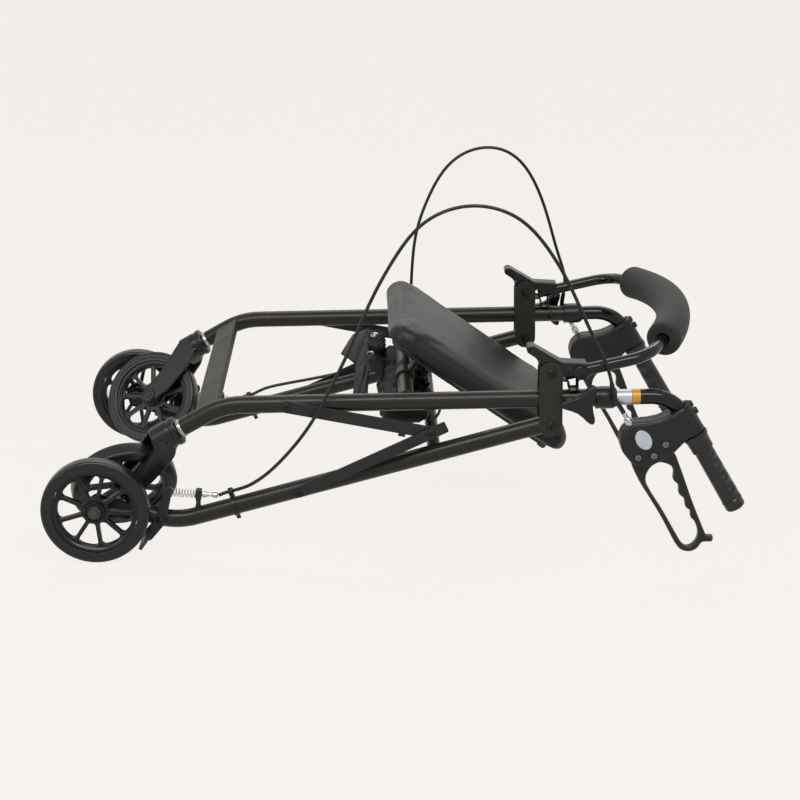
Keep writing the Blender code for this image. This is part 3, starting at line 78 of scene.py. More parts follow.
def feed(tree, node, sources):
    """A node whose inputs are linked to sockets or set to values."""
    for slot_name, source in dict(sources).items():
        if isinstance(source, bpy.types.NodeSocket):
            tree.links.new(source, node.inputs[slot_name])
        else:
            node.inputs[slot_name].default_value = source
    return node


def wired(tree, kind, sources=(), **settings):
    """A new node with its settings and its inputs."""
    node = tree.nodes.new(kind)
    for key, value in settings.items():
        setattr(node, key, value)
    return feed(tree, node, sources)


def pale(owner, lit_kind, lit_values, glow_kind, end_kind, shade):
    """Nodes of a world or a material that is lit as usual, except that rays from the camera, and
    those in gloss or glass, see the paper's own tone in the share given by shade."""
    owner.use_nodes = True
    tree = owner.node_tree
    tree.nodes.clear()
    lit = wired(tree, lit_kind, lit_values)
    ray = wired(tree, "ShaderNodeLightPath").outputs
    some = wired(tree, "ShaderNodeMath", {0: ray["Is Camera Ray"], 1: ray["Is Glossy Ray"]},
                 operation="MAXIMUM")
    every = wired(tree, "ShaderNodeMath", {0: some.outputs[0], 1: ray["Is Transmission Ray"]},
                  operation="MAXIMUM")
    share = wired(tree, "ShaderNodeMath", {0: every.outputs[0], 1: shade}, operation="MULTIPLY")
    glow = wired(tree, glow_kind, {"Color": (*PAPER, 1.0), "Strength": 1.0})
    mix = wired(tree, "ShaderNodeMixShader", {0: share.outputs[0], 1: lit.outputs[0], 2: glow.outputs[0]})
    wired(tree, end_kind, {0: mix.outputs[0]})


world = bpy.data.worlds.new("studio")
scene.world = world
pale(world, "ShaderNodeBackground", {"Color": (0.98, 0.99, 1.0, 1.0), "Strength": 0.16},
     "ShaderNodeBackground", "ShaderNodeOutputWorld", 1.0)
paper = bpy.data.materials.new("paper_sweep")
pale(paper, "ShaderNodeBsdfDiffuse", {"Color": (*PAPER, 1.0)}, "ShaderNodeEmission",
     "ShaderNodeOutputMaterial", 0.965)
sweep = bpy.data.meshes.new("floor")
FLOOR_Z = -0.0004      # a hair under the wheels
sweep.from_pydata([(x, y, FLOOR_Z) for x, y in ((-14, -12), (14, -12), (14, 16), (-14, 16))], [],
                  [(0, 1, 2, 3)])
sweep.materials.append(paper)
floor = bpy.data.objects.new("floor", sweep)
scene.collection.objects.link(floor)
floor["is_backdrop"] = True


def lamp(name, place, aim, width, height, power):
    """A rectangular soft lamp at a place, turned to aim at a point."""
    light = bpy.data.lights.new(name, "AREA")
    light.shape = "RECTANGLE"
    light.size = width
    light.size_y = height
    light.energy = power
    holder = bpy.data.objects.new(name, light)
    holder.location = place
    holder.rotation_euler = (Vector(aim) - Vector(place)).to_track_quat("-Z", "Y").to_euler()
    scene.collection.objects.link(holder)


lamp("lamp_over", (-0.1, -1.40, 1.95), (0.0, -0.1, 0.15), 2.6, 0.42, 44)
lamp("lamp_back", (0.2, 1.5, 1.7), (0.0, 0.0, 0.2), 2.2, 0.5, 16)
lamp("lamp_side", (-2.0, -1.4, 1.1), (-0.2, 0.0, 0.1), 0.7, 1.2, 10)

camera = bpy.data.objects.new("camera", bpy.data.cameras.new("camera"))
camera.data.lens = 85.0
camera.data.sensor_width = 36.0
camera.data.clip_end = 60.0
look = Vector((0.0199992, 0.9509088, -0.3088245))
right = Vector((0.9997898, -0.0176269, 0.0104702))
up = Vector((-0.0045125, 0.3089690, 0.9510614))
turn = Matrix((right, up, -look)).transposed().to_4x4()
camera.matrix_world = Matrix.Translation((-0.050209, -2.764292, 1.052375)) @ turn
scene.collection.objects.link(camera)
scene.camera = camera

# Front frame tubes
# Two one-inch steel tubes with a drilled upper end for the handle and a bent lower end
# for the caster, painted a dark bronze black with a finely grained gloss.

SIDES = (("left", -1), ("right", 1))
HALF = 0.225          # middle plane of each frame tube
TUBE_R = 0.0127


def heading(degrees):
    """Unit vector at an angle above +X in the side view."""
    a = math.radians(degrees)
    return np.array((math.cos(a), 0.0, math.sin(a)))


ALONG, ABOVE = heading(1.5), heading(91.5)
STEM_DIR, STEM_UP = heading(210.0), heading(120.0)
ACROSS = np.array((0.0, 1.0, 0.0))
HINGE = np.array((0.21647, 0.0, 0.19489))


def front(station, lift=0.0):
    """Side-view point at a station on the front tube's axis, and a lift above it."""
    return HINGE + (station - 0.2186) * ALONG + (0.0362 + lift) * ABOVE


def at_side(point, y):
    """The side-view point moved out to y."""
    return np.array((point[0], y, point[2]))


def corner_arc(before, corner, after, radius, steps=0, fine=1.0):
    """The arc that rounds a corner, drawn in where it would take up over 0.49 of either side.

    It has the given number of steps or, with none, a point for every fine degrees of its turn.
    """
    back, ahead = before - corner, after - corner
    lb, la = np.linalg.norm(back), np.linalg.norm(ahead)
    back, ahead = back / lb, ahead / la
    half = 0.5 * math.acos(np.clip(back @ ahead, -1, 1))
    r = min(radius / math.tan(half), 0.49 * lb, 0.49 * la) * math.tan(half)
    middle = (back + ahead) / np.linalg.norm(back + ahead)
    chord = (ahead - back) / np.linalg.norm(ahead - back)
    sweep_angle = math.pi - 2 * half
    count = steps + 1 if steps else max(3, int(math.degrees(sweep_angle) / fine) + 1)
    t = np.linspace(-0.5, 0.5, count)[:, None] * sweep_angle
    return corner + middle * r / math.sin(half) + r * (np.sin(t) * chord - np.cos(t) * middle)


def bent(corners, radius, fine):
    """Three corner points joined by straight runs, with an arc at the middle one."""
    first, middle, last = np.array(corners, float)
    return np.vstack([first, corner_arc(first, middle, last, radius, fine=fine), last])


def rings(grid, wrap=False):
    """Points and faces of a grid of closed rings, joined to a ring or shut with flat ends."""
    rows, count = grid.shape[:2]
    i = np.arange(rows if wrap else rows - 1)[:, None]
    j = np.arange(count)[None, :]
    a, b = i * count, ((i + 1) % rows) * count
    k = (j + 1) % count
    quads = np.stack([a + j, a + k, b + k, b + j], -1).reshape(-1, 4).tolist()
    if not wrap:
        quads.append(list(range(count)))
        quads.append(list(range((rows - 1) * count, rows * count)))
    return grid.reshape(-1, 3), quads


def swept(path, section, steady=ACROSS, wrap=False):
    """A section carried along a path: its first axis keeps to the steady direction.

    section is one (n, 2) outline, or an (m, n, 2) stack with one outline per path point.
    """
    path = np.asarray(path, float)
    ahead = np.roll(path, -1, 0) - np.roll(path, 1, 0) if wrap else np.gradient(path, axis=0)
    ahead = ahead / np.linalg.norm(ahead, axis=1)[:, None]
    first = steady - (ahead @ steady)[:, None] * ahead
    first = first / np.linalg.norm(first, axis=1)[:, None]
    second = np.cross(ahead, first)
    section = np.broadcast_to(section, (len(path), *np.shape(section)[-2:]))
    grid = path[:, None] + section[..., :1] * first[:, None] + section[..., 1:] * second[:, None]
    return rings(grid, wrap)


def disc(radius, count=40):
    """A round section."""
    a = np.linspace(0, 2 * np.pi, count, endpoint=False)
    return np.stack([np.cos(a), np.sin(a)], -1) * np.asarray(radius)[..., None, None]


def together(*shapes):
    """Several shapes as one."""
    points, faces, base = [], [], 0
    for p, f in shapes:
        points.append(p)
        faces += [[v + base for v in face] for face in f]
        base += len(p)
    return np.vstack(points), faces


SMOOTH = 180           # the crease angle of cloth and covers, which have no sharp edges


def piece(name, shape, finish, body, stands_for=(), crease=32.0):
    """A mesh object from points and faces, with its finish, riding on a body if one is named."""
    points, faces = shape[:2]
    mesh = bpy.data.meshes.new(name)
    mesh.from_pydata(np.asarray(points).tolist(), [], faces)
    work = bmesh.new()
    work.from_mesh(mesh)
    bmesh.ops.recalc_face_normals(work, faces=work.faces)
    work.to_mesh(mesh)
    work.free()
    mesh.shade_smooth()
    mesh.set_sharp_from_angle(angle=math.radians(crease))
    if len(shape) > 2:
        worn = mesh.attributes.new("edge", "FLOAT", "POINT")
        worn.data.foreach_set("value", np.asarray(shape[2], np.float32))
    mesh.materials.append(finish)
    obj = bpy.data.objects.new(name, mesh)
    scene.collection.objects.link(obj)
    if crease < SMOOTH:
        even = obj.modifiers.new("even_shading", "WEIGHTED_NORMAL")
        even.keep_sharp = True
    if body:
        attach(obj, body)
    if stands_for:
        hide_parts(*stands_for)
    return obj


def effect(name, inputs, outputs):
    """An empty node group with named values in and colours, values or normals out."""
    group = bpy.data.node_groups.new(name, "ShaderNodeTree")
    for label, value in inputs:
        socket = group.interface.new_socket(label, in_out="INPUT", socket_type="NodeSocketFloat")
        socket.default_value = value
    for label, kind in outputs:
        group.interface.new_socket(label, in_out="OUTPUT", socket_type=kind)
    return group, group.nodes.new("NodeGroupInput"), group.nodes.new("NodeGroupOutput")


# Handling: soft patches of slightly other tone and gloss, plus brightened edges
handling, h_in, h_out = effect(
    "handling", [("Patch size", 30.0), ("Edge", 0.6)],
    [("Patch", "NodeSocketFloat"), ("Edge", "NodeSocketFloat")])
h_place = wired(handling, "ShaderNodeTexCoord")
h_cloud = wired(handling, "ShaderNodeTexNoise", {"Vector": h_place.outputs["Object"],
                "Scale": h_in.outputs["Patch size"], "Detail": 5.0, "Roughness": 0.62})
h_spread = wired(handling, "ShaderNodeMapRange", {"Value": h_cloud.outputs["Fac"], "From Min": 0.3,
                 "From Max": 0.7})
h_fine = wired(handling, "ShaderNodeTexNoise", {"Vector": h_place.outputs["Object"], "Scale": 900.0,
               "Detail": 3.0})
h_mark = wired(handling, "ShaderNodeAttribute", attribute_name="edge")
h_break = wired(handling, "ShaderNodeMath", {0: h_fine.outputs["Fac"], 1: h_mark.outputs["Fac"]},
                operation="MULTIPLY")
h_level = wired(handling, "ShaderNodeMath", {0: h_break.outputs[0], 1: h_in.outputs["Edge"]},
                operation="MULTIPLY", use_clamp=True)
handling.links.new(h_spread.outputs[0], h_out.inputs["Patch"])
handling.links.new(h_level.outputs[0], h_out.inputs["Edge"])

# Grain: a pebbled or orange-peel skin as a bumped normal, with its height as a second output, which no finish
# reads
grain, g_in, g_out = effect(
    "grain", [("Size", 1500.0), ("Depth", 0.2), ("Cells", 0.3)],
    [("Normal", "NodeSocketVector"), ("Height", "NodeSocketFloat")])
g_place = wired(grain, "ShaderNodeTexCoord")
g_noise = wired(grain, "ShaderNodeTexNoise", {"Vector": g_place.outputs["Object"],
                "Scale": g_in.outputs["Size"], "Detail": 3.0, "Roughness": 0.6})
g_cells = wired(grain, "ShaderNodeTexVoronoi", {"Vector": g_place.outputs["Object"],
                "Scale": g_in.outputs["Size"]}, feature="SMOOTH_F1")
g_mix = wired(grain, "ShaderNodeMix", {"Factor": g_in.outputs["Cells"]})
grain.links.new(g_noise.outputs["Fac"], g_mix.inputs[2])
grain.links.new(g_cells.outputs["Distance"], g_mix.inputs[3])
g_bump = wired(grain, "ShaderNodeBump", {"Height": g_mix.outputs[0], "Strength": g_in.outputs["Depth"],
               "Distance": 0.0004})
grain.links.new(g_bump.outputs["Normal"], g_out.inputs["Normal"])
grain.links.new(g_mix.outputs[0], g_out.inputs["Height"])


def finish(name, colour, rough, other=None, metal=0.0, size=1500.0, depth=0.15, cells=0.3, patch=30.0,
           spread=0.06, edge=0.5, worn=None, gloss=0.5, fuzz=0.0):
    """A Principled surface whose tone and gloss vary in patches, with a grained skin."""
    made = bpy.data.materials.new(name)
    made.use_nodes = True
    tree = made.node_tree
    other = other or tuple(c * 1.35 for c in colour)
    worn = worn or tuple(min(1.0, c * 2.6 + 0.01) for c in colour)
    use = wired(tree, "ShaderNodeGroup", {"Patch size": patch, "Edge": edge}, node_tree=handling)
    skin = wired(tree, "ShaderNodeGroup", {"Size": size, "Depth": depth, "Cells": cells}, node_tree=grain)
    tone = wired(tree, "ShaderNodeMix", {0: use.outputs["Patch"], 6: (*colour, 1.0), 7: (*other, 1.0)},
                 data_type="RGBA")
    rub = wired(tree, "ShaderNodeMix", {0: use.outputs["Edge"], 6: tone.outputs[2], 7: (*worn, 1.0)},
                data_type="RGBA")
    dull = wired(tree, "ShaderNodeMapRange", {"Value": use.outputs["Patch"], "To Min": rough - spread,
                 "To Max": rough + spread})
    feed(tree, tree.nodes["Principled BSDF"], {
        "Metallic": metal, "Specular IOR Level": gloss, "Sheen Weight": fuzz, "Sheen Roughness": 0.45,
        "Base Color": rub.outputs[2], "Roughness": dull.outputs[0], "Normal": skin.outputs["Normal"]})
    return made


frame_paint = finish("frame_paint", (0.0125, 0.0119, 0.0082), 0.31, other=(0.0155, 0.0147, 0.0104),
                     size=5200.0, depth=0.08, cells=0.6, patch=9.0, spread=0.03, edge=0.25, gloss=0.23)
bolt_black = finish("blackened_bolt", (0.010, 0.010, 0.012), 0.34, metal=0.6, size=2600.0, depth=0.1,
                    worn=(0.05, 0.05, 0.05))

stem_bend = front(-0.2440)
stem_end = stem_bend + 0.0657 * STEM_DIR
for name, side in SIDES:
    corners = [front(0.3090), stem_bend, stem_end]
    route = bent([at_side(p, side * HALF) for p in corners], 0.110, 2.0)
    piece(f"front_tube_{name}", swept(route, disc(TUBE_R, 48)), frame_paint, "front_frame",
          [f"front_leg_{name}"])

# Crossbar and seat hinge tube
# A flat bar welded between the stems and a round tube welded between the front tubes,
# on which the seat turns; both in the frame's paint, the bar a little duller.

bar_paint = finish("bar_paint", (0.0155, 0.0153, 0.0126), 0.46, other=(0.0185, 0.0183, 0.0152), size=3000.0,
                   depth=0.12, cells=0.5, patch=22.0, edge=0.6, gloss=0.16)


def rounded(corners, radius, steps=4):
    """A flat outline whose corners are arcs of one radius, or of one radius each."""
    corners = np.asarray(corners, float)
    radii = np.broadcast_to(radius, len(corners))
    sides = zip(np.roll(corners, 1, 0), corners, np.roll(corners, -1, 0), radii)
    return np.vstack([corner_arc(*side, steps) for side in sides])


def oblong(width, height, radius, steps=4):
    """A rounded rectangle round the middle."""
    w, h = width / 2, height / 2
    return rounded([(-w, -h), (w, -h), (w, h), (-w, h)], radius, steps)


bar_mid = stem_bend + 0.025 * STEM_DIR + 0.003 * STEM_UP
bar_ends = np.linspace(-1, 1, 25)[:, None] * (HALF - 0.006) * ACROSS
crossbar = swept(bar_mid + bar_ends, oblong(0.036, 0.012, 0.0028), steady=-STEM_DIR)
piece("crossbar", crossbar, bar_paint, "front_frame", ["front_crossbar"])
seat_hinge = front(0.0155)
hinge_ends = np.array((-HALF + 0.006, HALF - 0.006))[:, None] * ACROSS
piece("hinge_tube", swept(seat_hinge + hinge_ends, disc(0.0110, 40), steady=ALONG), frame_paint,
      "front_frame", ["seat_hinge_tube"])


def bead(centre, radius, axis, thick, tone):
    """A weld: a ring of overlapping ripples round a joint."""
    axis = axis / np.linalg.norm(axis)
    a = np.linspace(0, 2 * np.pi, 120, endpoint=False)[:, None]
    first = np.cross(axis, (0.3, 0.2, 0.9))
    first = first / np.linalg.norm(first)
    second = np.cross(axis, first)
    path = centre + radius * (np.cos(a) * first + np.sin(a) * second)
    swell = thick * (1 + 0.22 * np.abs(np.sin(17 * a[:, 0] + tone)))
    return swept(path, disc(swell, 8), steady=axis, wrap=True)


for name, side in SIDES:
    wall = HALF - TUBE_R
    tube_weld = bead(at_side(seat_hinge, side * (wall + 0.0012)), 0.0112, ACROSS, 0.0016, side)
    piece(f"hinge_tube_weld_{name}", tube_weld, frame_paint, "front_frame")

# Side plates
# A pair of stamped steel plates on each side clamps the front tube, carries the rear leg
# on its lower bolt and the backrest bracket on its upper one; button-head bolts hold them.

OUTER = HALF + TUBE_R + 0.0003
PLATE_T = 0.003
plate_paint = finish("plate_paint", (0.0165, 0.0160, 0.0124), 0.42, other=(0.0195, 0.0190, 0.0150),
                     size=4200.0, depth=0.12, cells=0.5, patch=16.0, spread=0.04, edge=0.7, gloss=0.22)


def plate(outline, y0, y1, edge, holes=(), steps=3):
    """A flat piece cut to a side-view outline and holes, between two planes of y.

    Its rims are quarter rounds: at a turn t the rim stands in by edge (1 - sin t) and
    lies edge (1 - cos t) below the face. The third value marks the rounded rims.
    """
    y0, y1 = min(y0, y1), max(y0, y1)
    loops = []
    for k, loop in enumerate([outline, *holes]):
        loop = np.asarray(loop, float)
        x, z = loop.T
        leftwards = np.sum(x * np.roll(z, -1) - np.roll(x, -1) * z) > 0
        loops.append(loop if leftwards == (k == 0) else loop[::-1])
    t = np.linspace(0, np.pi / 2, steps + 1)
    inset = np.r_[edge * (1 - np.sin(t)), edge * (1 - np.sin(t[::-1]))]
    level = np.r_[y0 + edge * (1 - np.cos(t)), y1 - edge * (1 - np.cos(t[::-1]))]
    rub = np.r_[np.sin(2 * t), np.sin(2 * t[::-1])]
    points, faces, worn, first, last, base = [], [], [], [], [], 0
    for loop in loops:
        count = len(loop)
        run = np.roll(loop, -1, 0) - loop
        run = run / np.maximum(np.linalg.norm(run, axis=1), 1e-9)[:, None]
        run = run + np.roll(run, 1, 0)
        run = run / np.linalg.norm(run, axis=1)[:, None]
        inward = np.stack([-run[:, 1], run[:, 0]], -1)
        flat = loop + inset[:, None, None] * inward
        grid = np.stack([flat[..., 0], np.broadcast_to(level[:, None], flat.shape[:2]), flat[..., 1]], -1)
        i = np.arange(len(level) - 1)[:, None] * count
        j = np.arange(count)[None, :]
        k = (j + 1) % count
        quads = np.stack([i + j, i + count + j, i + count + k, i + k], -1).reshape(-1, 4) + base
        faces += quads.tolist()
        points.append(grid.reshape(-1, 3))
        worn.append(np.repeat(rub, count))
        first.append(base + np.arange(count))
        last.append(base + (len(level) - 1) * count + np.arange(count))
        base += len(level) * count
    points = np.vstack(points)
    first, last = np.concatenate(first), np.concatenate(last)
    edges = [[Vector((x, z, 0.0)) for x, _, z in points[first[sum(map(len, loops[:k])):][:len(loop)]]]
             for k, loop in enumerate(loops)]
    for a, b, c in geometry.tessellate_polygon(edges):
        pa, pb, pc = points[first[[a, b, c]]]
        leftwards = (pb[0] - pa[0]) * (pc[2] - pa[2]) - (pb[2] - pa[2]) * (pc[0] - pa[0]) > 0
        a, b, c = (a, b, c) if leftwards else (a, c, b)
        faces.append([int(first[a]), int(first[b]), int(first[c])])
        faces.append([int(last[a]), int(last[c]), int(last[b])])
    return points, faces, np.concatenate(worn)


def stadium(a, b, ra, rb, count=14):
    """Outline of a bar with round ends about two side-view points."""
    a, b = np.asarray(a)[[0, -1]], np.asarray(b)[[0, -1]]
    base = math.atan2(*(b - a)[::-1])
    t = np.linspace(-np.pi / 2, np.pi / 2, count)[:, None]
    far = b + rb * np.hstack([np.cos(base + t), np.sin(base + t)])
    near = a + ra * np.hstack([np.cos(base + np.pi + t), np.sin(base + np.pi + t)])
    return np.vstack([far, near])


def turned(profile, origin, axis, steps=32, wrap=False):
    """A turned piece: (radius, height) points carried round an axis through the origin."""
    profile = np.asarray(profile, float)
    axis = np.asarray(axis, float) / np.linalg.norm(axis)
    first = np.cross(axis, (0.31, 0.17, 0.93) if abs(axis[1]) > 0.9 else ACROSS)
    first = first / np.linalg.norm(first)
    second = np.cross(axis, first)
    a = np.linspace(0, 2 * np.pi, steps, endpoint=False)[:, None]
    spoke = np.cos(a) * first + np.sin(a) * second
    grid = origin + profile[:, :1, None] * spoke + profile[:, 1:, None] * axis
    return rings(grid, wrap)


def button_bolt(place, side, face, radius=0.0068, height=0.0034):
    """A button head on the face at y, with a six-sided socket, and its shank behind it."""
    t = np.linspace(0, np.pi / 2, 6)
    dome = [(radius * math.cos(u), height * (0.25 + 0.75 * math.sin(u))) for u in t[:-1]]
    socket = [(0.0030, height * 0.98), (0.0028, height * 0.35), (0.0004, height * 0.30)]
    head = turned([(0.0004, 0.0), (radius, 0.0), *dome, *socket], at_side(place, face), side * ACROSS, 6 * 5)
    points, faces = head
    ring = points.reshape(-1, 30, 3)
    middle = at_side(place, face)
    a = np.linspace(0, 2 * np.pi, 30, endpoint=False)
    hexed = math.cos(math.pi / 6) / np.cos((a % (np.pi / 3)) - np.pi / 6)
    for row in (-3, -2):
        level = ring[row] - middle
        depth = level[:, 1:2] * ACROSS
        ring[row] = middle + depth + (level - depth) * hexed[:, None]
    return points, faces


BACKREST_PIVOT = front(0.2186, 0.0412)
link_pivot = front(-0.1537)
KNOB_AT = 0.2612       # station of the height knob on the front tube
for name, side in SIDES:
    shape = stadium(HINGE, BACKREST_PIVOT, 0.0165, 0.0165, 24)
    outer = plate(shape, side * OUTER, side * (OUTER + PLATE_T), 0.0007)
    inner_face = HALF - TUBE_R - 0.0003
    inner = plate(shape, side * (inner_face - PLATE_T), side * inner_face, 0.0007)
    both = together(outer[:2], inner[:2])
    piece(f"plates_{name}", (*both, np.r_[outer[2], inner[2]]), plate_paint, "front_frame",
          [f"side_plates_{name}"])
    heads = []
    for place in (HINGE, BACKREST_PIVOT):
        heads.append(button_bolt(place, side, side * (OUTER + PLATE_T)))
        nut_face = side * (inner_face - PLATE_T)
        nut = turned([(0.0004, 0), (0.0064, 0), (0.0068, 0.0008), (0.0062, 0.0036), (0.0030, 0.0042),
                      (0.0004, 0.0042)], at_side(place, nut_face), -side * ACROSS, 6)
        heads.append(nut)
    piece(f"plate_bolts_{name}", together(*heads), bolt_black, "front_frame", crease=28)
    link_bolt = button_bolt(link_pivot, side, side * (OUTER + PLATE_T + 0.0002), 0.0064, 0.0030)
    piece(f"front_link_bolt_{name}", link_bolt, bolt_black, "front_frame", crease=28)
    inner_nut = turned([(0.0004, -0.002), (0.0068, -0.002), (0.0068, 0.0036), (0.0040, 0.0048),
                        (0.0004, 0.0048)], at_side(front(KNOB_AT), side * (HALF - TUBE_R)), -side * ACROSS, 6)
    piece(f"height_nut_{name}", inner_nut, bolt_black, "front_frame", crease=28)

# Collars
# Moulded plastic caps pressed on the open ends of the front tubes, which guide the handles.

fitting_plastic = finish("fitting_plastic", (0.0075, 0.0072, 0.0080), 0.30, size=3800.0, depth=0.08,
                         patch=24.0, edge=0.8, gloss=0.27)
for name, side in SIDES:
    foot = at_side(front(0.2827), side * HALF)
    outer, length, lip = 0.0160, 0.0263, 0.0115
    profile = [(outer - 0.0006, 0), (outer, 0.0006), (outer, 0.0036), (outer - 0.0005, 0.0042),
               (outer - 0.0005, 0.0060), (outer, 0.0066), (outer, length - 0.004),
               (outer - 0.0004, length - 0.0015), (outer - 0.0022, length + 0.0022),
               (outer - 0.0034, length + 0.0034), (lip, length + 0.0034), (lip, length + 0.0004),
               (0.0133, length + 0.0003), (0.0133, 0)]
    piece(f"collar_{name}", turned(profile, foot, ALONG, 56, wrap=True), fitting_plastic, "front_frame",
          [f"height_collar_{name}"])

# Rear legs
# Bent tubes with a flat axle plate welded to the foot and a cross tube between them; a
# plastic stop holds the cable's adjuster, and a clip with a tail ties the cable down.

REAR_DIR, REAR_UP, FOOT_DIR = heading(195.9), heading(105.9), heading(162.6)


def rear(distance, lift=0.0):
    """Side-view point at a distance down the rear leg from its hinge."""
    return HINGE + distance * REAR_DIR + lift * REAR_UP


foot_bend = rear(0.5558)
AXLE = foot_bend + 0.1133 * FOOT_DIR
BRAKE_PIVOT = foot_bend + 0.0197 * FOOT_DIR + 0.0015 * REAR_UP
CROSS_AT, LINK_AT, CLIP_AT = 0.170, 0.3716, 0.4662     # distances down the leg
EYE_LIFT = 0.0228      # the cable's way through its clip
rear_pivot = rear(LINK_AT)
SPRING_DIR = heading(-3.5)
SPRING_LINE = foot_bend + np.array((0.0341, 0.0, 0.0422))
cross_ends = np.array((-HALF + 0.006, HALF - 0.006))[:, None] * ACROSS
piece("cross_tube", swept(rear(CROSS_AT) + cross_ends, disc(0.0095, 36), steady=REAR_DIR), frame_paint,
      "rear_frame", ["rear_cross_tube"])
axle_face = HALF + TUBE_R - 0.0020
for name, side in SIDES:
    route = bent([at_side(p, side * HALF) for p in (rear(-0.0130), foot_bend, AXLE - 0.036 * FOOT_DIR)],
                 0.100, 2.0)
    leg = swept(route, disc(TUBE_R, 48))
    tab = plate(stadium(AXLE - 0.040 * FOOT_DIR, AXLE, 0.0130, 0.0130, 18), side * axle_face,
                side * (axle_face + 0.005), 0.0008)
    piece(f"rear_tube_{name}", together(leg, tab[:2]), frame_paint, "rear_frame",
          [f"rear_leg_{name}"])
    tube_weld = bead(at_side(rear(CROSS_AT), side * (HALF - TUBE_R + 0.0008)), 0.0097, ACROSS, 0.0015, side)
    piece(f"cross_tube_weld_{name}", tube_weld, frame_paint, "rear_frame")
    upright = heading(86.5)
    foot, waist = SPRING_LINE - 0.0320 * upright, SPRING_LINE - 0.0110 * upright
    neck, top = SPRING_LINE - 0.0050 * upright, SPRING_LINE + 0.0075 * upright
    stop = [foot - 0.0060 * SPRING_DIR, foot + 0.0060 * SPRING_DIR, waist + 0.0028 * SPRING_DIR,
            neck + 0.0045 * SPRING_DIR, top + 0.0045 * SPRING_DIR, top - 0.0045 * SPRING_DIR,
            neck - 0.0045 * SPRING_DIR, waist - 0.0028 * SPRING_DIR]
    shape = rounded([(p[0], p[2]) for p in stop], [0.001, 0.001, 0.006, 0.003, 0.0018, 0.0018, 0.003, 0.006])
    piece(f"cable_stop_{name}", plate(shape, side * (HALF - 0.0055), side * (HALF + 0.0055), 0.0010),
          fitting_plastic, "rear_frame")
    clip_mid = at_side(rear(CLIP_AT), side * HALF)
    eye = clip_mid + EYE_LIFT * REAR_UP
    band = turned([(0.0128, -0.0035), (0.0143, -0.0035), (0.0148, -0.0028), (0.0148, 0.0028),
                   (0.0143, 0.0035), (0.0128, 0.0035)], clip_mid, REAR_DIR, 48, wrap=True)
    eyelet = turned([(0.0036, -0.0034), (0.0050, -0.0034), (0.0054, -0.0028), (0.0054, 0.0028),
                     (0.0050, 0.0034), (0.0036, 0.0034)], eye, REAR_DIR, 28, wrap=True)
    head = swept(clip_mid + np.array((0.0140, 0.0185))[:, None] * REAR_UP, oblong(0.0070, 0.0062, 0.0012),
                 steady=REAR_DIR)
    tail = swept(clip_mid - np.array((0.0140, 0.0200))[:, None] * REAR_UP, oblong(0.0060, 0.0022, 0.0008),
                 steady=REAR_DIR)
    piece(f"cable_clip_{name}", together(band, eyelet, head, tail), fitting_plastic, "rear_frame")
    bolts = [button_bolt(rear_pivot, side, side * (OUTER + PLATE_T + 0.0002), 0.0062, 0.0028),
             button_bolt(BRAKE_PIVOT, side, side * (OUTER + 0.0040 + 0.0002), 0.0064, 0.0032)]
    piece(f"rear_bolts_{name}", together(*bolts), bolt_black, "rear_frame", crease=28)

# Folding links
# Flat steel bars, a front and a rear one on each side; the rear one is joggled outwards so
# that it laps the front one at the middle pivot, where a rivet holds them.

link_paint = finish("link_paint", (0.0140, 0.0130, 0.0146), 0.40, other=(0.0168, 0.0158, 0.0175),
                    size=4200.0, depth=0.10, cells=0.5, patch=14.0, spread=0.04, edge=0.8, gloss=0.25)
LINK_DIR = heading(-10.4)
LINK = 0.2072          # the front link's length between its pivots
link_joint = link_pivot + LINK * LINK_DIR


def flat_bar(path, width, thick, steady, edge=0.0007, blunt=False):
    """A flat bar along a path with round ends, or with a blunt far end.

    At a distance s from a round end the half width is the chord of the end's circle; a
    blunt end only has its corners taken off.
    """
    path = np.asarray(path, float)
    gone = np.r_[0, np.cumsum(np.linalg.norm(np.diff(path, axis=0), axis=1))]
    near = np.minimum(gone, (gone[-1] - gone) * (4.0 if blunt else 1.0) + (0.003 if blunt else 0.0))
    r = width / 2
    half = np.where(near < r, np.sqrt(np.maximum(r * r - (r - near) ** 2, (0.12 * r) ** 2)), r)
    base = oblong(2.0, thick, edge, 3)
    section = np.stack([np.sign(base[:, 0]) * (half[:, None] - (1 - np.abs(base[:, 0]))),
                        np.broadcast_to(base[:, 1], (len(path), len(base)))], -1)
    return swept(path, section, steady=steady)


def ends_close(length, r, middle=8):
    """Stations along a bar, close together where its ends are round."""
    u = r * (1 - np.cos(np.linspace(0, np.pi / 2, 9)))
    return np.r_[u, np.linspace(r, length - r, middle)[1:-1], length - u[::-1]]


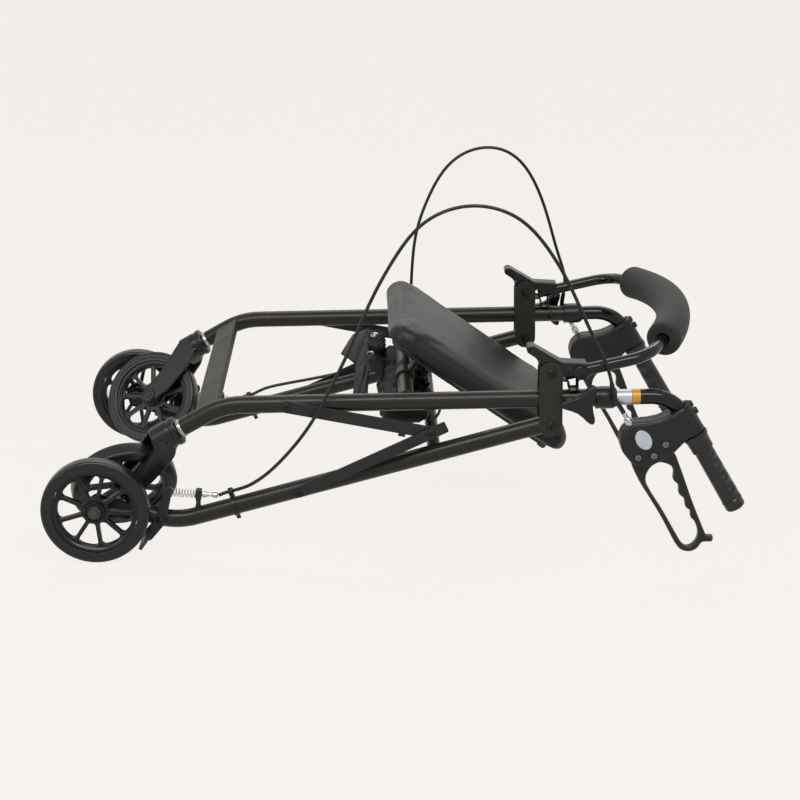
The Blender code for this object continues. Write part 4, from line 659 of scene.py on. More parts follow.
for name, side in SIDES:
    r = 0.0090
    s = ends_close(LINK + 2 * r, r) - r
    mid = side * (OUTER + PLATE_T / 2)
    up_bar = np.array((-LINK_DIR[2], 0, LINK_DIR[0]))
    bar = flat_bar(at_side(link_pivot, mid) + s[:, None] * LINK_DIR, 2 * r, PLATE_T, up_bar)
    nub_at = link_pivot + (LINK - 0.040) * LINK_DIR - r * up_bar
    nub = swept(at_side(nub_at, mid) + np.array((0.001, -0.0038))[:, None] * up_bar,
                oblong(0.0100, PLATE_T, 0.0008), steady=LINK_DIR)
    piece(f"front_bar_{name}", together(bar, nub), link_paint, f"front_link_{name}",
          [f"front_link_{name}"])
    span = link_joint - rear_pivot
    length = np.linalg.norm(span)
    span = span / length
    r = 0.00825
    s = np.r_[ends_close(4 * r, r)[:9] - r, np.linspace(0, 0.053, 4)[1:], np.linspace(0.055, 0.067, 9), 0.069,
              length, length + 0.0230, length + 0.0245]
    t = np.clip((s - 0.055) / 0.012, 0, 1)
    out_y = OUTER + PLATE_T / 2 + (PLATE_T + 0.0006) * t * t * (3 - 2 * t)
    path = rear_pivot + s[:, None] * span + (side * out_y)[:, None] * ACROSS
    up_bar = np.array((-span[2], 0, span[0]))
    piece(f"rear_bar_{name}", flat_bar(path, 2 * r, PLATE_T, up_bar, blunt=True), link_paint,
          f"rear_link_{name}", [f"rear_link_{name}"])
    face = side * (OUTER + 2 * PLATE_T + 0.0006)
    piece(f"middle_rivet_{name}", button_bolt(link_joint, side, face, 0.0062, 0.0030), bolt_black,
          f"rear_link_{name}", crease=28)

# Rear wheels
# A moulded nine-spoke rim and a solid grey-black tyre with a flat wall and glossy
# shoulders, on a steel axle through the leg's foot plate.

WHEEL_R = 0.0765
WHEEL_MID = HALF + 0.0445
tyre_rubber = finish("tyre_rubber", (0.0088, 0.0084, 0.0095), 0.31, other=(0.0110, 0.0106, 0.0118),
                     size=1900.0, depth=0.05, cells=0.2, patch=26.0, spread=0.04, edge=0.3, gloss=0.30)
rim_plastic = finish("rim_plastic", (0.0065, 0.0062, 0.0073), 0.30, size=2000.0, depth=0.05, patch=30.0,
                     edge=0.9, gloss=0.28)
dark_steel = finish("dark_steel", (0.060, 0.058, 0.055), 0.30, metal=0.9, size=2400.0, depth=0.06,
                    patch=60.0, edge=0.5, worn=(0.16, 0.16, 0.16))


def rim(phase):
    """A rim about the local Y axis: ring, hub and a web with nine round-cornered windows."""
    windows = []
    for k in range(9):
        middle = math.radians(phase + 20 + 40 * k)
        a_in = math.radians(20) - 0.0030 / 0.0200
        a_out = math.radians(20) - 0.0029 / 0.0520
        r = np.array((0.0200, 0.0520, 0.0532, 0.0532, 0.0520, 0.0200))
        a = middle + np.array((-a_in, -a_out, -0.35 * a_out, 0.35 * a_out, a_out, a_in))
        windows.append(rounded(np.stack([r * np.cos(a), r * np.sin(a)], -1),
                               [0.0030, 0.0055, 0.02, 0.02, 0.0055, 0.0030], 4))
    web = plate(disc(0.0585, 108), -0.0046, 0.0046, 0.0014, windows)
    ring = [(0.0552, -0.0074), (0.0566, -0.0088), (0.0600, -0.0090), (0.0600, 0.0090), (0.0566, 0.0088),
            (0.0552, 0.0074), (0.0540, 0.0066), (0.0533, 0.0040), (0.0533, -0.0040), (0.0540, -0.0066)]
    hub = [(0.0043, 0.0124), (0.0105, 0.0124), (0.0112, 0.0118), (0.0116, 0.0098), (0.0124, 0.0094),
           (0.0130, 0.0104), (0.0140, 0.0102), (0.0146, 0.0090), (0.0158, 0.0048)]
    hub += [(r, -h) for r, h in reversed(hub)]
    ring, hub = (turned(p, (0, 0, 0), ACROSS, 108, wrap=True) for p in (ring, hub))
    rub = np.r_[web[2], np.zeros(len(ring[0]) + len(hub[0]))]
    return (*together(web[:2], ring, hub), rub)


def tyre():
    """A solid tyre about the local Y axis, with a fine groove round its walls."""
    half = 0.0120
    t = np.radians(np.linspace(90, 12, 7))
    shoulder = [(0.0716 + 0.0047 * math.cos(a), half - 0.0052 + 0.0052 * math.sin(a)) for a in t]
    wall = [(0.0606, half - 0.0008), (0.0613, half - 0.0002), (0.0640, half), (0.0666, half - 0.0001),
            (0.0669, half - 0.0003), (0.0673, half - 0.0003), (0.0676, half - 0.0001)]
    upper = wall + shoulder + [(WHEEL_R, 0.0020)]
    profile = upper + [(r, -h) for r, h in reversed(upper)]
    profile[len(upper) - 1] = (WHEEL_R, 0.0015)
    profile[len(upper)] = (WHEEL_R, -0.0015)
    return turned(profile, (0, 0, 0), ACROSS, 128, wrap=True)


def placed(shape, origin, x_axis, y_axis, z_axis):
    """A shape moved from its own axes to a place."""
    points = np.asarray(shape[0]) @ np.array((x_axis, y_axis, z_axis)) + origin
    return (points, *shape[1:])


def wheel(kind, name, phase, hub_at, axes):
    """The rim and the tyre of one wheel, both on the wheel's body."""
    piece(f"{kind}_wheel_rim_{name}", placed(rim(phase), hub_at, *axes), rim_plastic, f"{kind}_wheel_{name}",
          [f"{kind}_rim_{name}"], 40)
    piece(f"{kind}_wheel_tyre_{name}", placed(tyre(), hub_at, *axes), tyre_rubber, f"{kind}_wheel_{name}",
          [f"{kind}_tyre_{name}"], 40)


EAST, SKY = np.array((1.0, 0.0, 0.0)), np.array((0.0, 0.0, 1.0))
for name, side in SIDES:
    wheel("rear", name, 36.8, at_side(AXLE, side * WHEEL_MID), (EAST, ACROSS, SKY))
    hub_in, hub_out = WHEEL_MID - 0.0125, WHEEL_MID + 0.0125
    foot_in, foot_out = axle_face, axle_face + 0.005
    profile = [(0.0003, hub_out + 0.0040), (0.0040, hub_out + 0.0038), (0.0056, hub_out + 0.0030),
               (0.0062, hub_out + 0.0012), (0.0084, hub_out + 0.0011), (0.0090, hub_out + 0.0003),
               (0.0040, hub_out + 0.0003), (0.0040, hub_in - 0.0003), (0.0075, hub_in - 0.0003),
               (0.0075, foot_out + 0.0003), (0.0040, foot_out + 0.0003), (0.0040, foot_in - 0.0003),
               (0.0070, foot_in - 0.0003), (0.0070, foot_in - 0.0030), (0.0062, foot_in - 0.0036),
               (0.0003, foot_in - 0.0038)]
    piece(f"wheel_axle_{name}", turned(profile, at_side(AXLE, 0.0), side * ACROSS, 40), dark_steel,
          "rear_frame", [f"rear_axle_{name}"])

# Casters
# A steel bearing and stud under each stem, a moulded fork whose cup turns on it, and the
# same kind of wheel between the fork's blades.

bright_steel = finish("bright_steel", (0.52, 0.53, 0.55), 0.26, other=(0.42, 0.43, 0.46), metal=1.0,
                      size=1800.0, depth=0.06, cells=0.2, patch=120.0, edge=0.2, worn=(0.75, 0.75, 0.76))
for name, side in SIDES:
    end = at_side(stem_end, side * HALF)
    up_stem = -STEM_DIR
    washers = [(0.0003, -0.0004), (0.0112, -0.0004), (0.0116, -0.0010), (0.0116, -0.0016), (0.0134, -0.0018),
               (0.0137, -0.0024), (0.0137, -0.0030), (0.0122, -0.0033), (0.0122, -0.0040),
               (0.0134, -0.0043), (0.0134, -0.0052), (0.0100, -0.0060), (0.0060, -0.0064),
               (0.0060, -0.0400), (0.0003, -0.0400)]
    piece(f"caster_bearing_{name}", turned(washers, end, up_stem, 48), bright_steel, "front_frame",
          [f"caster_stud_{name}"])
    spin = math.radians(33.0 if side < 0 else 36.0)
    trail = -(math.cos(spin) * STEM_UP + math.sin(spin) * side * ACROSS)
    axle_dir = np.cross(trail, STEM_DIR)
    axes = trail, axle_dir, up_stem
    blade_in, blade_out = 0.0150, 0.0205
    hub_trail, hub_drop = 0.045, 0.125
    cup = [(0.0070, -0.0070), (0.0186, -0.0070), (0.0206, -0.0080), (0.0212, -0.0094), (0.0212, -0.0138),
           (0.0205, -0.0150), (0.0196, -0.0158), (0.0196, -0.0178), (0.0203, -0.0190), (0.0207, -0.0230),
           (0.0203, -0.0436), (0.0190, -0.0452), (0.0070, -0.0456)]
    cup = turned(cup, (0, 0, 0), (0, 0, 1), 56)
    arm = [(-0.0140, -0.0270), (-0.0105, -0.0440), (0.0175, -0.0900), (0.0325, -0.1250), (0.0340, -0.1345),
           (0.0450, -0.1385), (0.0560, -0.1345), (0.0578, -0.1250), (0.0535, -0.0920), (0.0385, -0.0560),
           (0.0255, -0.0330), (0.0170, -0.0255)]
    arm = rounded(arm, [0.004, 0.03, 0.12, 0.03, 0.008, 0.012, 0.008, 0.03, 0.08, 0.05, 0.02, 0.004], 5)
    blades = [plate(arm, y * blade_in, y * blade_out, 0.0024, (), 5)[:2] for y in (-1, 1)]
    z = np.array((-0.0292, -0.0300, -0.0320, -0.0440, -0.0462, -0.0470))
    crown_path = np.stack([np.array((0.0035, 0.0045, 0.0060, 0.0085, 0.0090, 0.0090)), np.zeros(6), z], -1)
    crown_cut = np.stack([oblong(0.034 - shy, 0.0400 - shy / 2, 0.011, 6)
                          for shy in (0.006, 0.003, 0, 0, 0.002, 0.005)])
    crown = swept(crown_path, crown_cut, steady=EAST)
    hub_own = np.array((hub_trail, 0.0, -hub_drop))
    boss = [(0.0003, blade_out + 0.0050), (0.0056, blade_out + 0.0049), (0.0064, blade_out + 0.0042),
            (0.0066, blade_out + 0.0034), (0.0100, blade_out + 0.0032), (0.0110, blade_out + 0.0024),
            (0.0114, blade_out + 0.0012), (0.0114, blade_out - 0.002), (0.0003, blade_out - 0.002)]
    caps = [turned(boss, hub_own, y * ACROSS, 40) for y in (-1, 1)]
    axle_own = turned([(0.0003, -0.016), (0.0052, -0.016), (0.0052, 0.016), (0.0003, 0.016)], hub_own,
                      ACROSS, 24)
    solid = together(cup, *blades, crown, *caps, axle_own)
    piece(f"fork_{name}", placed(solid, end, *axes), fitting_plastic, f"caster_{name}",
          [f"caster_fork_{name}"])
    wheel("caster", name, 36.4, end + hub_trail * trail - hub_drop * up_stem, axes)

# Brakes on the rear wheels
# A bent steel arm on each leg presses a shoe on the tyre when the cable pulls its tab; a
# coil spring on the cable pushes it back off, and a knurled adjuster sets the cable.

shoe_dir = heading(-35.5)
shoe_mid = AXLE + (WHEEL_R + 0.0035 + 0.0025) * shoe_dir
ARM_T = 0.0040
COILS, COIL_R, WIRE_R = 9, 0.0057, 0.00065
tab_at = SPRING_LINE - 0.0415 * SPRING_DIR
for name, side in SIDES:
    top = BRAKE_PIVOT + np.array((0.0110, 0.0, 0.0460))
    upper = plate(stadium(BRAKE_PIVOT, top, 0.0075, 0.0060), side * OUTER, side * (OUTER + ARM_T), 0.0008)
    lower = plate(stadium(BRAKE_PIVOT, shoe_mid + 0.0030 * shoe_dir, 0.0078, 0.0080), side * OUTER,
                  side * (OUTER + ARM_T), 0.0008)
    reach = np.array((OUTER + 0.0002, WHEEL_MID + 0.0120))
    shoe_path = at_side(shoe_mid, 0.0) + side * reach[:, None] * ACROSS
    shoe = swept(shoe_path, oblong(0.0050, 0.0170, 0.0010), steady=shoe_dir)
    tab_path = at_side(tab_at, 0.0) + side * (HALF + np.array((-0.0083, 0.0166)))[:, None] * ACROSS
    tab = swept(tab_path, oblong(0.0030, 0.0150, 0.0008), steady=SPRING_DIR)
    rub = np.r_[upper[2], lower[2], 1.4 * np.ones(len(shoe[0])), np.zeros(len(tab[0]))]
    piece(f"brake_lever_arm_{name}", (*together(upper[:2], lower[:2], shoe, tab), rub), link_paint,
          f"brake_arm_{name}", [f"brake_arm_{name}"])

    sleeve = [(0.0003, 0.0275), (0.0026, 0.0275), (0.0034, 0.0268), (0.0040, 0.0262), (0.0040, 0.0204),
              (0.0034, 0.0196), (0.0027, 0.0190), (0.0027, 0.0122), (0.0040, 0.0118), (0.0044, 0.0110),
              (0.0044, 0.0064), (0.0040, 0.0058), (0.0026, 0.0056), (0.0026, -0.0052), (0.0003, -0.0052)]
    piece(f"leg_adjuster_{name}", turned(sleeve, at_side(SPRING_LINE, side * HALF), SPRING_DIR, 24),
          bright_steel, "rear_frame", [f"rear_cable_adjuster_{name}"], 40)
    start = tab_at + 0.0024 * SPRING_DIR
    stop = SPRING_LINE - 0.0056 * SPRING_DIR
    wind = np.linspace(0, 1, COILS * 16 + 1)
    close = np.clip((wind - 0.05) / 0.90, 0, 1)
    ahead = start + close[:, None] * (stop - start)
    cross = np.cross(SPRING_DIR, ACROSS)
    turns = 2 * np.pi * COILS * wind[:, None]
    coil = ahead + COIL_R * (np.cos(turns) * ACROSS + np.sin(turns) * cross) + side * HALF * ACROSS
    spring = piece(f"coil_spring_{name}", swept(coil, disc(WIRE_R, 8), steady=SPRING_DIR), bright_steel,
                   None, [f"return_spring_{name}"], 40)
    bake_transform(spring)

# Seat
# Foam on a board under a stretched cover of grained black vinyl; two steel straps with
# sleeves turn it on the hinge tube, and rubber bumpers at their ends meet the frame.

SEAT_DIR, SEAT_UP = heading(-34.5), heading(55.5)
SEAT_MID = 0.093
PAD_FOOT = 0.0399
vinyl = finish("vinyl", (0.0095, 0.0092, 0.0102), 0.39, other=(0.0118, 0.0114, 0.0126), size=1500.0,
               depth=0.34, cells=0.85, patch=7.0, spread=0.05, edge=0.0, gloss=0.22)
board_black = finish("board_black", (0.012, 0.012, 0.012), 0.62, size=700.0, depth=0.2, patch=40.0)
bumper_rubber = finish("bumper_rubber", (0.010, 0.010, 0.010), 0.6, size=2200.0, depth=0.12)


def seat(ahead, y, lift):
    """Point of the seat: ahead of its hinge, across, and above the hinge."""
    return seat_hinge + ahead * SEAT_DIR + y * ACROSS + lift * SEAT_UP


def pad_blank():
    """The pad before it is filled: rounded rectangles stacked up, drawn in along a quarter round
    of 18 mm at the top edge and 11 mm at the bottom one."""
    t = np.linspace(0, np.pi / 2, 6)
    low, high = 0.011, 0.018
    lift = np.r_[low * (1 - np.cos(t)), 0.0322 - high * (1 - np.cos(t[::-1]))]
    inset = np.r_[low * (1 - np.sin(t)), high * (1 - np.sin(t[::-1]))]
    cuts = np.stack([oblong(0.320 - 2 * i, 0.304 - 2 * i, 0.036 - 0.7 * i, 10) for i in inset])
    return swept(seat(SEAT_MID + 0.0025, 0.0, PAD_FOOT) + lift[:, None] * SEAT_UP, cuts, steady=SEAT_DIR)


def filled(name, shape, foot, axis, cap):
    """A pad blown up like a filled cover: remeshed, swollen by cloth under pressure with its foot
    held, and no point moved further than cap, which it nears as cap tanh(move / cap)."""
    blank = bpy.data.meshes.new(name + "_blank")
    blank.from_pydata(np.asarray(shape[0]).tolist(), [], shape[1])
    rough = bpy.data.objects.new(name + "_blank", blank)
    scene.collection.objects.link(rough)
    voxels = rough.modifiers.new("even_faces", "REMESH")
    voxels.mode = "VOXEL"
    voxels.voxel_size = 0.005
    ready = bpy.data.meshes.new_from_object(rough.evaluated_get(bpy.context.evaluated_depsgraph_get()))
    bpy.data.objects.remove(rough)
    count = len(ready.vertices)
    rest = np.empty(count * 3, np.float32)
    ready.vertices.foreach_get("co", rest)
    rest = rest.reshape(-1, 3).astype(float)
    moved = rest.copy()
    cover = bpy.data.objects.new(name + "_cover", ready.copy())
    scene.collection.objects.link(cover)
    held = cover.vertex_groups.new(name="foot")
    held.add(np.flatnonzero((rest - foot) @ axis < 0.004).tolist(), 1.0, "REPLACE")
    cloth = cover.modifiers.new("cover", "CLOTH")
    cloth.settings.quality = 6
    cloth.settings.use_pressure = True
    cloth.settings.uniform_pressure_force = 4.0
    cloth.settings.vertex_group_mass = "foot"
    cloth.settings.bending_stiffness = 0.6
    cloth.settings.effector_weights.gravity = 0.0
    frames = 20
    for frame_at in range(1, frames + 1):
        scene.frame_set(frame_at)
    swollen = cover.evaluated_get(bpy.context.evaluated_depsgraph_get()).to_mesh()
    swollen.vertices.foreach_get("co", flat := np.empty(count * 3, np.float32))
    moved = flat.reshape(-1, 3).astype(float)
    scene.frame_set(1)
    bpy.data.objects.remove(cover)
    move = moved - rest
    far = np.linalg.norm(move, axis=1)[:, None]
    moved = rest + move * np.where(far > 1e-9, cap * np.tanh(far / cap) / np.maximum(far, 1e-9), 0.0)
    faces = [tuple(f.vertices) for f in ready.polygons]
    return moved, faces


foot_mid = seat(SEAT_MID, 0.0, PAD_FOOT)
points, faces = filled("seat_pad", pad_blank(), foot_mid, SEAT_UP, 0.0035)
own = points - foot_mid
a, b, c = own @ SEAT_DIR / 0.160, own @ ACROSS / 0.155, own @ SEAT_UP
crown = 0.0016 * np.clip(1 - a ** 2, 0, 1) * np.clip(1 - b ** 2, 0, 1) * np.clip(c / 0.03, 0, 1)
turn_at = np.arctan2(np.abs(b) - 0.80, np.abs(a) - 0.80)
at_corner = np.clip((np.abs(a) - 0.80) / 0.1, 0, 1) * np.clip((np.abs(b) - 0.80) / 0.1, 0, 1)
pucker = 0.0007 * at_corner * np.sin(17 * turn_at) * np.clip(1 - np.abs(c - 0.010) / 0.012, 0, 1)
drawn = -0.0022 * ((np.abs(a) > 0.93) * (1 - b ** 2)).clip(0)
outwards = np.stack([np.sign(a) * (np.abs(a) > 0.9), np.sign(b) * (np.abs(b) > 0.9)], -1)
points = points + crown[:, None] * SEAT_UP + ((pucker + drawn) * outwards[:, 0])[:, None] * SEAT_DIR
points = points + (pucker * outwards[:, 1])[:, None] * ACROSS
points = points - np.minimum((points - foot_mid) @ SEAT_UP, 0.0)[:, None] * SEAT_UP
pad = piece("seat_cushion", (points, faces), vinyl, "seat", ["seat_pad"], SMOOTH)
smoothed = pad.modifiers.new("smooth_cover", "SUBSURF")
smoothed.levels = smoothed.render_levels = 1

levels = np.array((0.0336, 0.0342, 0.0390, 0.0396))
cuts = np.stack([oblong(0.280 - shy, 0.266 - shy, 0.018, 6) for shy in (0.0012, 0, 0, 0.0012)])
piece("seat_base", swept(seat(SEAT_MID, 0.0, 0.0) + levels[:, None] * SEAT_UP, cuts, steady=SEAT_DIR),
      board_black, "seat", ["seat_board"])


def pan_screw(place, axis, radius=0.0042, height=0.0022):
    """A low round screw head with a hollow in its middle, standing on a face."""
    profile = [(0.0002, -0.0005), (radius, -0.0005), (radius, 0.3 * height), (0.82 * radius, 0.85 * height),
               (0.5 * radius, height), (0.34 * radius, height), (0.26 * radius, 0.45 * height),
               (0.0002, 0.4 * height)]
    return turned(profile, place, axis, 24)


for name, side in SIDES:
    y = side * 0.105
    s = ends_close(0.260, 0.0125, 6)
    strip = flat_bar(seat(SEAT_MID - 0.130, y, 0.0318) + s[:, None] * SEAT_DIR, 0.025, 0.0030, ACROSS, 0.0008)
    sleeve = turned([(0.0137, -0.0125), (0.0143, -0.0119), (0.0143, 0.0119), (0.0137, 0.0125),
                     (0.0114, 0.0125), (0.0114, -0.0125)], seat(0.0, y, 0.0), ACROSS, 40, wrap=True)
    neck = swept(seat(0.0, y, 0.0) + np.array((0.0136, 0.0200, 0.0312))[:, None] * SEAT_UP,
                 np.stack([oblong(w, 0.0240, 0.0012) for w in (0.0090, 0.0060, 0.0085)]), steady=SEAT_DIR)
    piece(f"seat_strap_bar_{name}", together(strip, sleeve, neck), plate_paint, "seat",
          [f"seat_strap_{name}"])
    screws = [pan_screw(seat(at, y, 0.0302), -SEAT_UP) for at in (-0.022, 0.045, 0.125, 0.195)]
    piece(f"seat_screws_{name}", together(*screws), bolt_black, "seat")
    buffer = [(0.0003, 0.0), (0.0070, 0.0), (0.0071, 0.0012), (0.0066, 0.0032), (0.0058, 0.0042),
              (0.0045, 0.0044), (0.0003, 0.0044)]
    piece(f"seat_bumper_{name}", turned(buffer, seat(0.2285, y, 0.0303), -SEAT_UP, 32), bumper_rubber, "seat")

# Storage pouch
# A bag of black nylon under the seat, slung from the hinge tube by two loops; it lies
# crumpled, with its flap turned back to show two press studs, and has an elastic tie.

nylon = bpy.data.materials.new("nylon_cloth")
nylon.use_nodes = True
tree = nylon.node_tree
place = wired(tree, "ShaderNodeTexCoord")
warp, weft = (wired(tree, "ShaderNodeTexWave", {"Vector": place.outputs["Object"], "Scale": 420.0,
                    "Distortion": 0.4}, bands_direction=way) for way in ("Y", "DIAGONAL"))
woven = wired(tree, "ShaderNodeMath", {0: warp.outputs["Fac"], 1: weft.outputs["Fac"]},
              operation="MAXIMUM").outputs[0]
use = wired(tree, "ShaderNodeGroup", {"Patch size": 22.0}, node_tree=handling)
tone = wired(tree, "ShaderNodeMix", {0: use.outputs["Patch"], 6: (0.0032, 0.0034, 0.0036, 1.0),
             7: (0.0050, 0.0052, 0.0056, 1.0)}, data_type="RGBA")
thread = wired(tree, "ShaderNodeMix", {0: woven, 6: (0.0020, 0.0022, 0.0023, 1.0), 7: tone.outputs[2]},
               data_type="RGBA")
dull = wired(tree, "ShaderNodeMapRange", {"Value": woven, "To Min": 0.72, "To Max": 0.50})
raised = wired(tree, "ShaderNodeBump", {"Height": woven, "Strength": 0.3, "Distance": 0.0004})
feed(tree, tree.nodes["Principled BSDF"], {
    "Sheen Weight": 0.03, "Sheen Roughness": 0.4, "Specular IOR Level": 0.15,
    "Base Color": thread.outputs[2], "Roughness": dull.outputs[0], "Normal": raised.outputs["Normal"]})

POUCH_X, POUCH_TOP = seat_hinge[0] - 0.0015, seat_hinge[2] - 0.0155


def sack(middle, half, deep, crush=1.0):
    """A sagging closed bag: rounded-square loops across the walker, drawn in at both ends.

    With q from -1 to 1 across and angle w round the loop, the half sizes are scaled by
    (1 - |q|^14)^(1/4). Folds are sums of sines of w and q, sharpened by taking |sin|. The
    underside hangs lower by deep (1 - 0.4 q)(1 - q^6), and crush deepens the folds.
    """
    q = np.sin(np.linspace(-np.pi / 2, np.pi / 2, 97))[:, None] * 0.9999
    w = np.linspace(0, 2 * np.pi, 96, endpoint=False)[None, :]
    close = (1 - np.abs(q) ** 14) ** 0.25
    square = lambda v: np.sign(v) * np.abs(v) ** 0.62
    x, z = square(np.cos(w)), square(np.sin(w))
    fold = 0.0034 * np.abs(np.sin(11 * q + 1.3 * np.cos(w) + 0.6)) + 0.0012 * np.sin(3 * w - 6 * q)
    fold = fold + 0.0016 * np.abs(np.sin(7 * w + 4 * np.sin(3 * q))) + 0.0007 * np.sin(11 * w + 17 * q)
    shrink = close * (1 - crush * (fold - 0.0005) / 0.034)
    sag = deep * (1 - 0.4 * q) * (1 - q ** 6) * (z < 0) * np.abs(z)
    return rings(np.stack([middle[0] + half[0] * x * shrink, middle[1] + half[1] * q + 0 * w,
                           middle[2] + half[2] * z * shrink - sag], -1))


def lying(corner_a, corner_b, corner_c, corner_d, bulge, ripple):
    """A sheet between four corners, a to b on one edge and d to c on the other: straight across,
    lifted by bulge sin(pi u) sin(pi v) and by slanting ripples, ripple sin(9 v + 4 u)
    sin(2.2 u + 5 v)."""
    count = 40
    u = np.linspace(0, 1, count)[:, None, None]
    v = np.linspace(0, 1, count)[None, :, None]
    p, q, r, s = (np.asarray(k, float) for k in (corner_a, corner_b, corner_c, corner_d))
    flat_sheet = (1 - u) * ((1 - v) * p + v * q) + u * ((1 - v) * s + v * r)
    rise = bulge * np.sin(np.pi * u) * np.sin(np.pi * v)
    rise = rise + ripple * np.sin(9 * v + 4 * u) * np.sin(2.2 * u + 5 * v)
    grid = flat_sheet + rise * np.array((0.25, 0.0, 0.97))
    i = np.arange(count - 1)[:, None] * count
    j = np.arange(count - 1)[None, :]
    quads = np.stack([i + j, i + j + 1, i + count + j + 1, i + count + j], -1).reshape(-1, 4)
    return grid.reshape(-1, 3), quads.tolist()


bag = together(sack((POUCH_X + 0.0020, -0.0030, POUCH_TOP - 0.0250), (0.0400, 0.1400, 0.0245), 0.0062),
               sack((-0.0290, 0.0800, 0.2225), (0.0150, 0.0500, 0.0105), 0.0, 2.6))
piece("pouch_bag", bag, nylon, "front_frame", ["storage_pouch"], SMOOTH)
corners = ((-0.083, 0.000, 0.2290), (-0.066, 0.100, 0.2290), (-0.0420, 0.122, 0.2335),
           (-0.0595, -0.020, 0.2185))
turned_back = lying(*corners, 0.0030, 0.0006)
edge_left, edge_far = np.array((-0.0200, -0.045, 0.2080)), np.array((-0.0160, 0.125, 0.2180))
rising = lying(corners[3], corners[2], edge_far, edge_left, 0.0060, 0.0022)
hanging = lying((-0.0600, -0.020, 0.2180), (-0.0400, -0.010, 0.2190), (-0.0420, -0.128, 0.2060),
                (-0.0640, -0.130, 0.2040), 0.0065, 0.0016)
for label, shape, thick in (("flap", turned_back, 0.0026), ("flap_root", rising, 0.0020),
                            ("flap_side", hanging, 0.0020)):
    part = piece(f"pouch_{label}", shape, nylon, "front_frame", crease=SMOOTH)
    wall = part.modifiers.new("cloth_thickness", "SOLIDIFY")
    wall.thickness = thick
    wall.offset = 0.0
    hem = part.modifiers.new("soft_edges", "BEVEL")
    hem.width = 0.0007
    hem.segments = 2
    hem.limit_method = "ANGLE"

loops = []
for name, side in SIDES:
    at = at_side(seat_hinge, side * 0.0755)
    loops.append(turned([(0.0128, -0.0140), (0.0133, -0.0134), (0.0133, 0.0134), (0.0128, 0.0140),
                         (0.0114, 0.0140), (0.0114, -0.0140)], at, ACROSS, 40, wrap=True))
    tabs = np.stack([oblong(wide, 0.0276, 0.0008) for wide in (0.0060, 0.0090, 0.0130)])
    below = np.array([(-0.001, 0, z) for z in (-0.0131, -0.0150, -0.0182)])
    loops.append(swept(at + below, tabs, steady=EAST))
piece("pouch_loops", together(*loops), nylon, "front_frame")

studs = []
for at in ((-0.0315, 0.0900, 0.2315), (-0.0380, 0.0200, 0.2215)):
    profile = [(0.0003, 0.0006), (0.0022, 0.0006), (0.0028, 0.0026), (0.0036, 0.0032), (0.0044, 0.0026),
               (0.0048, 0.0010), (0.0060, 0.0006), (0.0065, 0.0000), (0.0062, -0.0012), (0.0003, -0.0012)]
    studs.append(turned(profile, np.array(at), np.array((-0.20, -0.60, 0.77)), 32))
piece("pouch_press_studs", together(*studs), bright_steel, "front_frame")
a = np.linspace(-0.5 * np.pi, 0.52 * np.pi, 40)[:, None]
tie_mid = np.array((POUCH_X + 0.0385, -0.128, POUCH_TOP - 0.0235))
tie = tie_mid + 0.0150 * np.cos(a) * EAST + 0.0205 * np.sin(a) * SKY
piece("pouch_elastic", swept(tie, oblong(0.0070, 0.0036, 0.0014)), bumper_rubber, "front_frame")

# Backrest
# Moulded brackets on the plates' upper bolts hold a bent steel bar, gloss black, with a
# thick foam sleeve on its long curve; a push button in each bracket frees the bar.

gloss_black = finish("gloss_black", (0.0040, 0.0040, 0.0046), 0.16, other=(0.0050, 0.0050, 0.0056),
                     size=2600.0, depth=0.02, patch=18.0, spread=0.03, edge=0.2, gloss=0.32)
foam_rubber = finish("foam_rubber", (0.0185, 0.0176, 0.0178), 0.72, other=(0.0250, 0.0238, 0.0240),
                     size=1300.0, depth=0.5, cells=0.6, patch=34.0, spread=0.04, edge=0.2, gloss=0.25,
                     fuzz=0.06)
ARM_DIR, ARM_UP = heading(13.3), heading(103.3)
FACE = 0.0124          # half the bracket's thickness
foot_right, foot_left = front(0.2582, 0.0130), front(0.2442, 0.0130)
mouth = BACKREST_PIVOT + np.array((0.0508, 0.0, 0.0017))


def bracket_points(offsets):
    """Side-view points from offsets to the backrest's pivot."""
    return np.asarray(offsets) + BACKREST_PIVOT[[0, 2]]


body_shape = [(0.0141, 0.0160), (0.0508, 0.0142), (0.0508, -0.0100), (0.0395, -0.0105),
              foot_right[[0, 2]] - BACKREST_PIVOT[[0, 2]], foot_left[[0, 2]] - BACKREST_PIVOT[[0, 2]],
              (0.0240, -0.0105), (0.0080, -0.0140), (-0.0100, -0.0125), (-0.0155, 0.0060), (-0.0200, 0.0200),
              (-0.0345, 0.0295), (-0.0345, 0.0382), (-0.0262, 0.0392)]
body_radii = [0.012, 0.002, 0.002, 0.003, 0.002, 0.002, 0.003, 0.006, 0.006, 0.02, 0.012, 0.0045, 0.0045,
              0.0045]
body_shape = rounded(bracket_points(body_shape), body_radii)
hollow = rounded(bracket_points([(-0.0272, 0.0350), (-0.0300, 0.0312), (-0.0160, 0.0212), (-0.0110, 0.0115),
                                 (0.0045, 0.0118), (0.0085, 0.0152)]), 0.0024, 3)
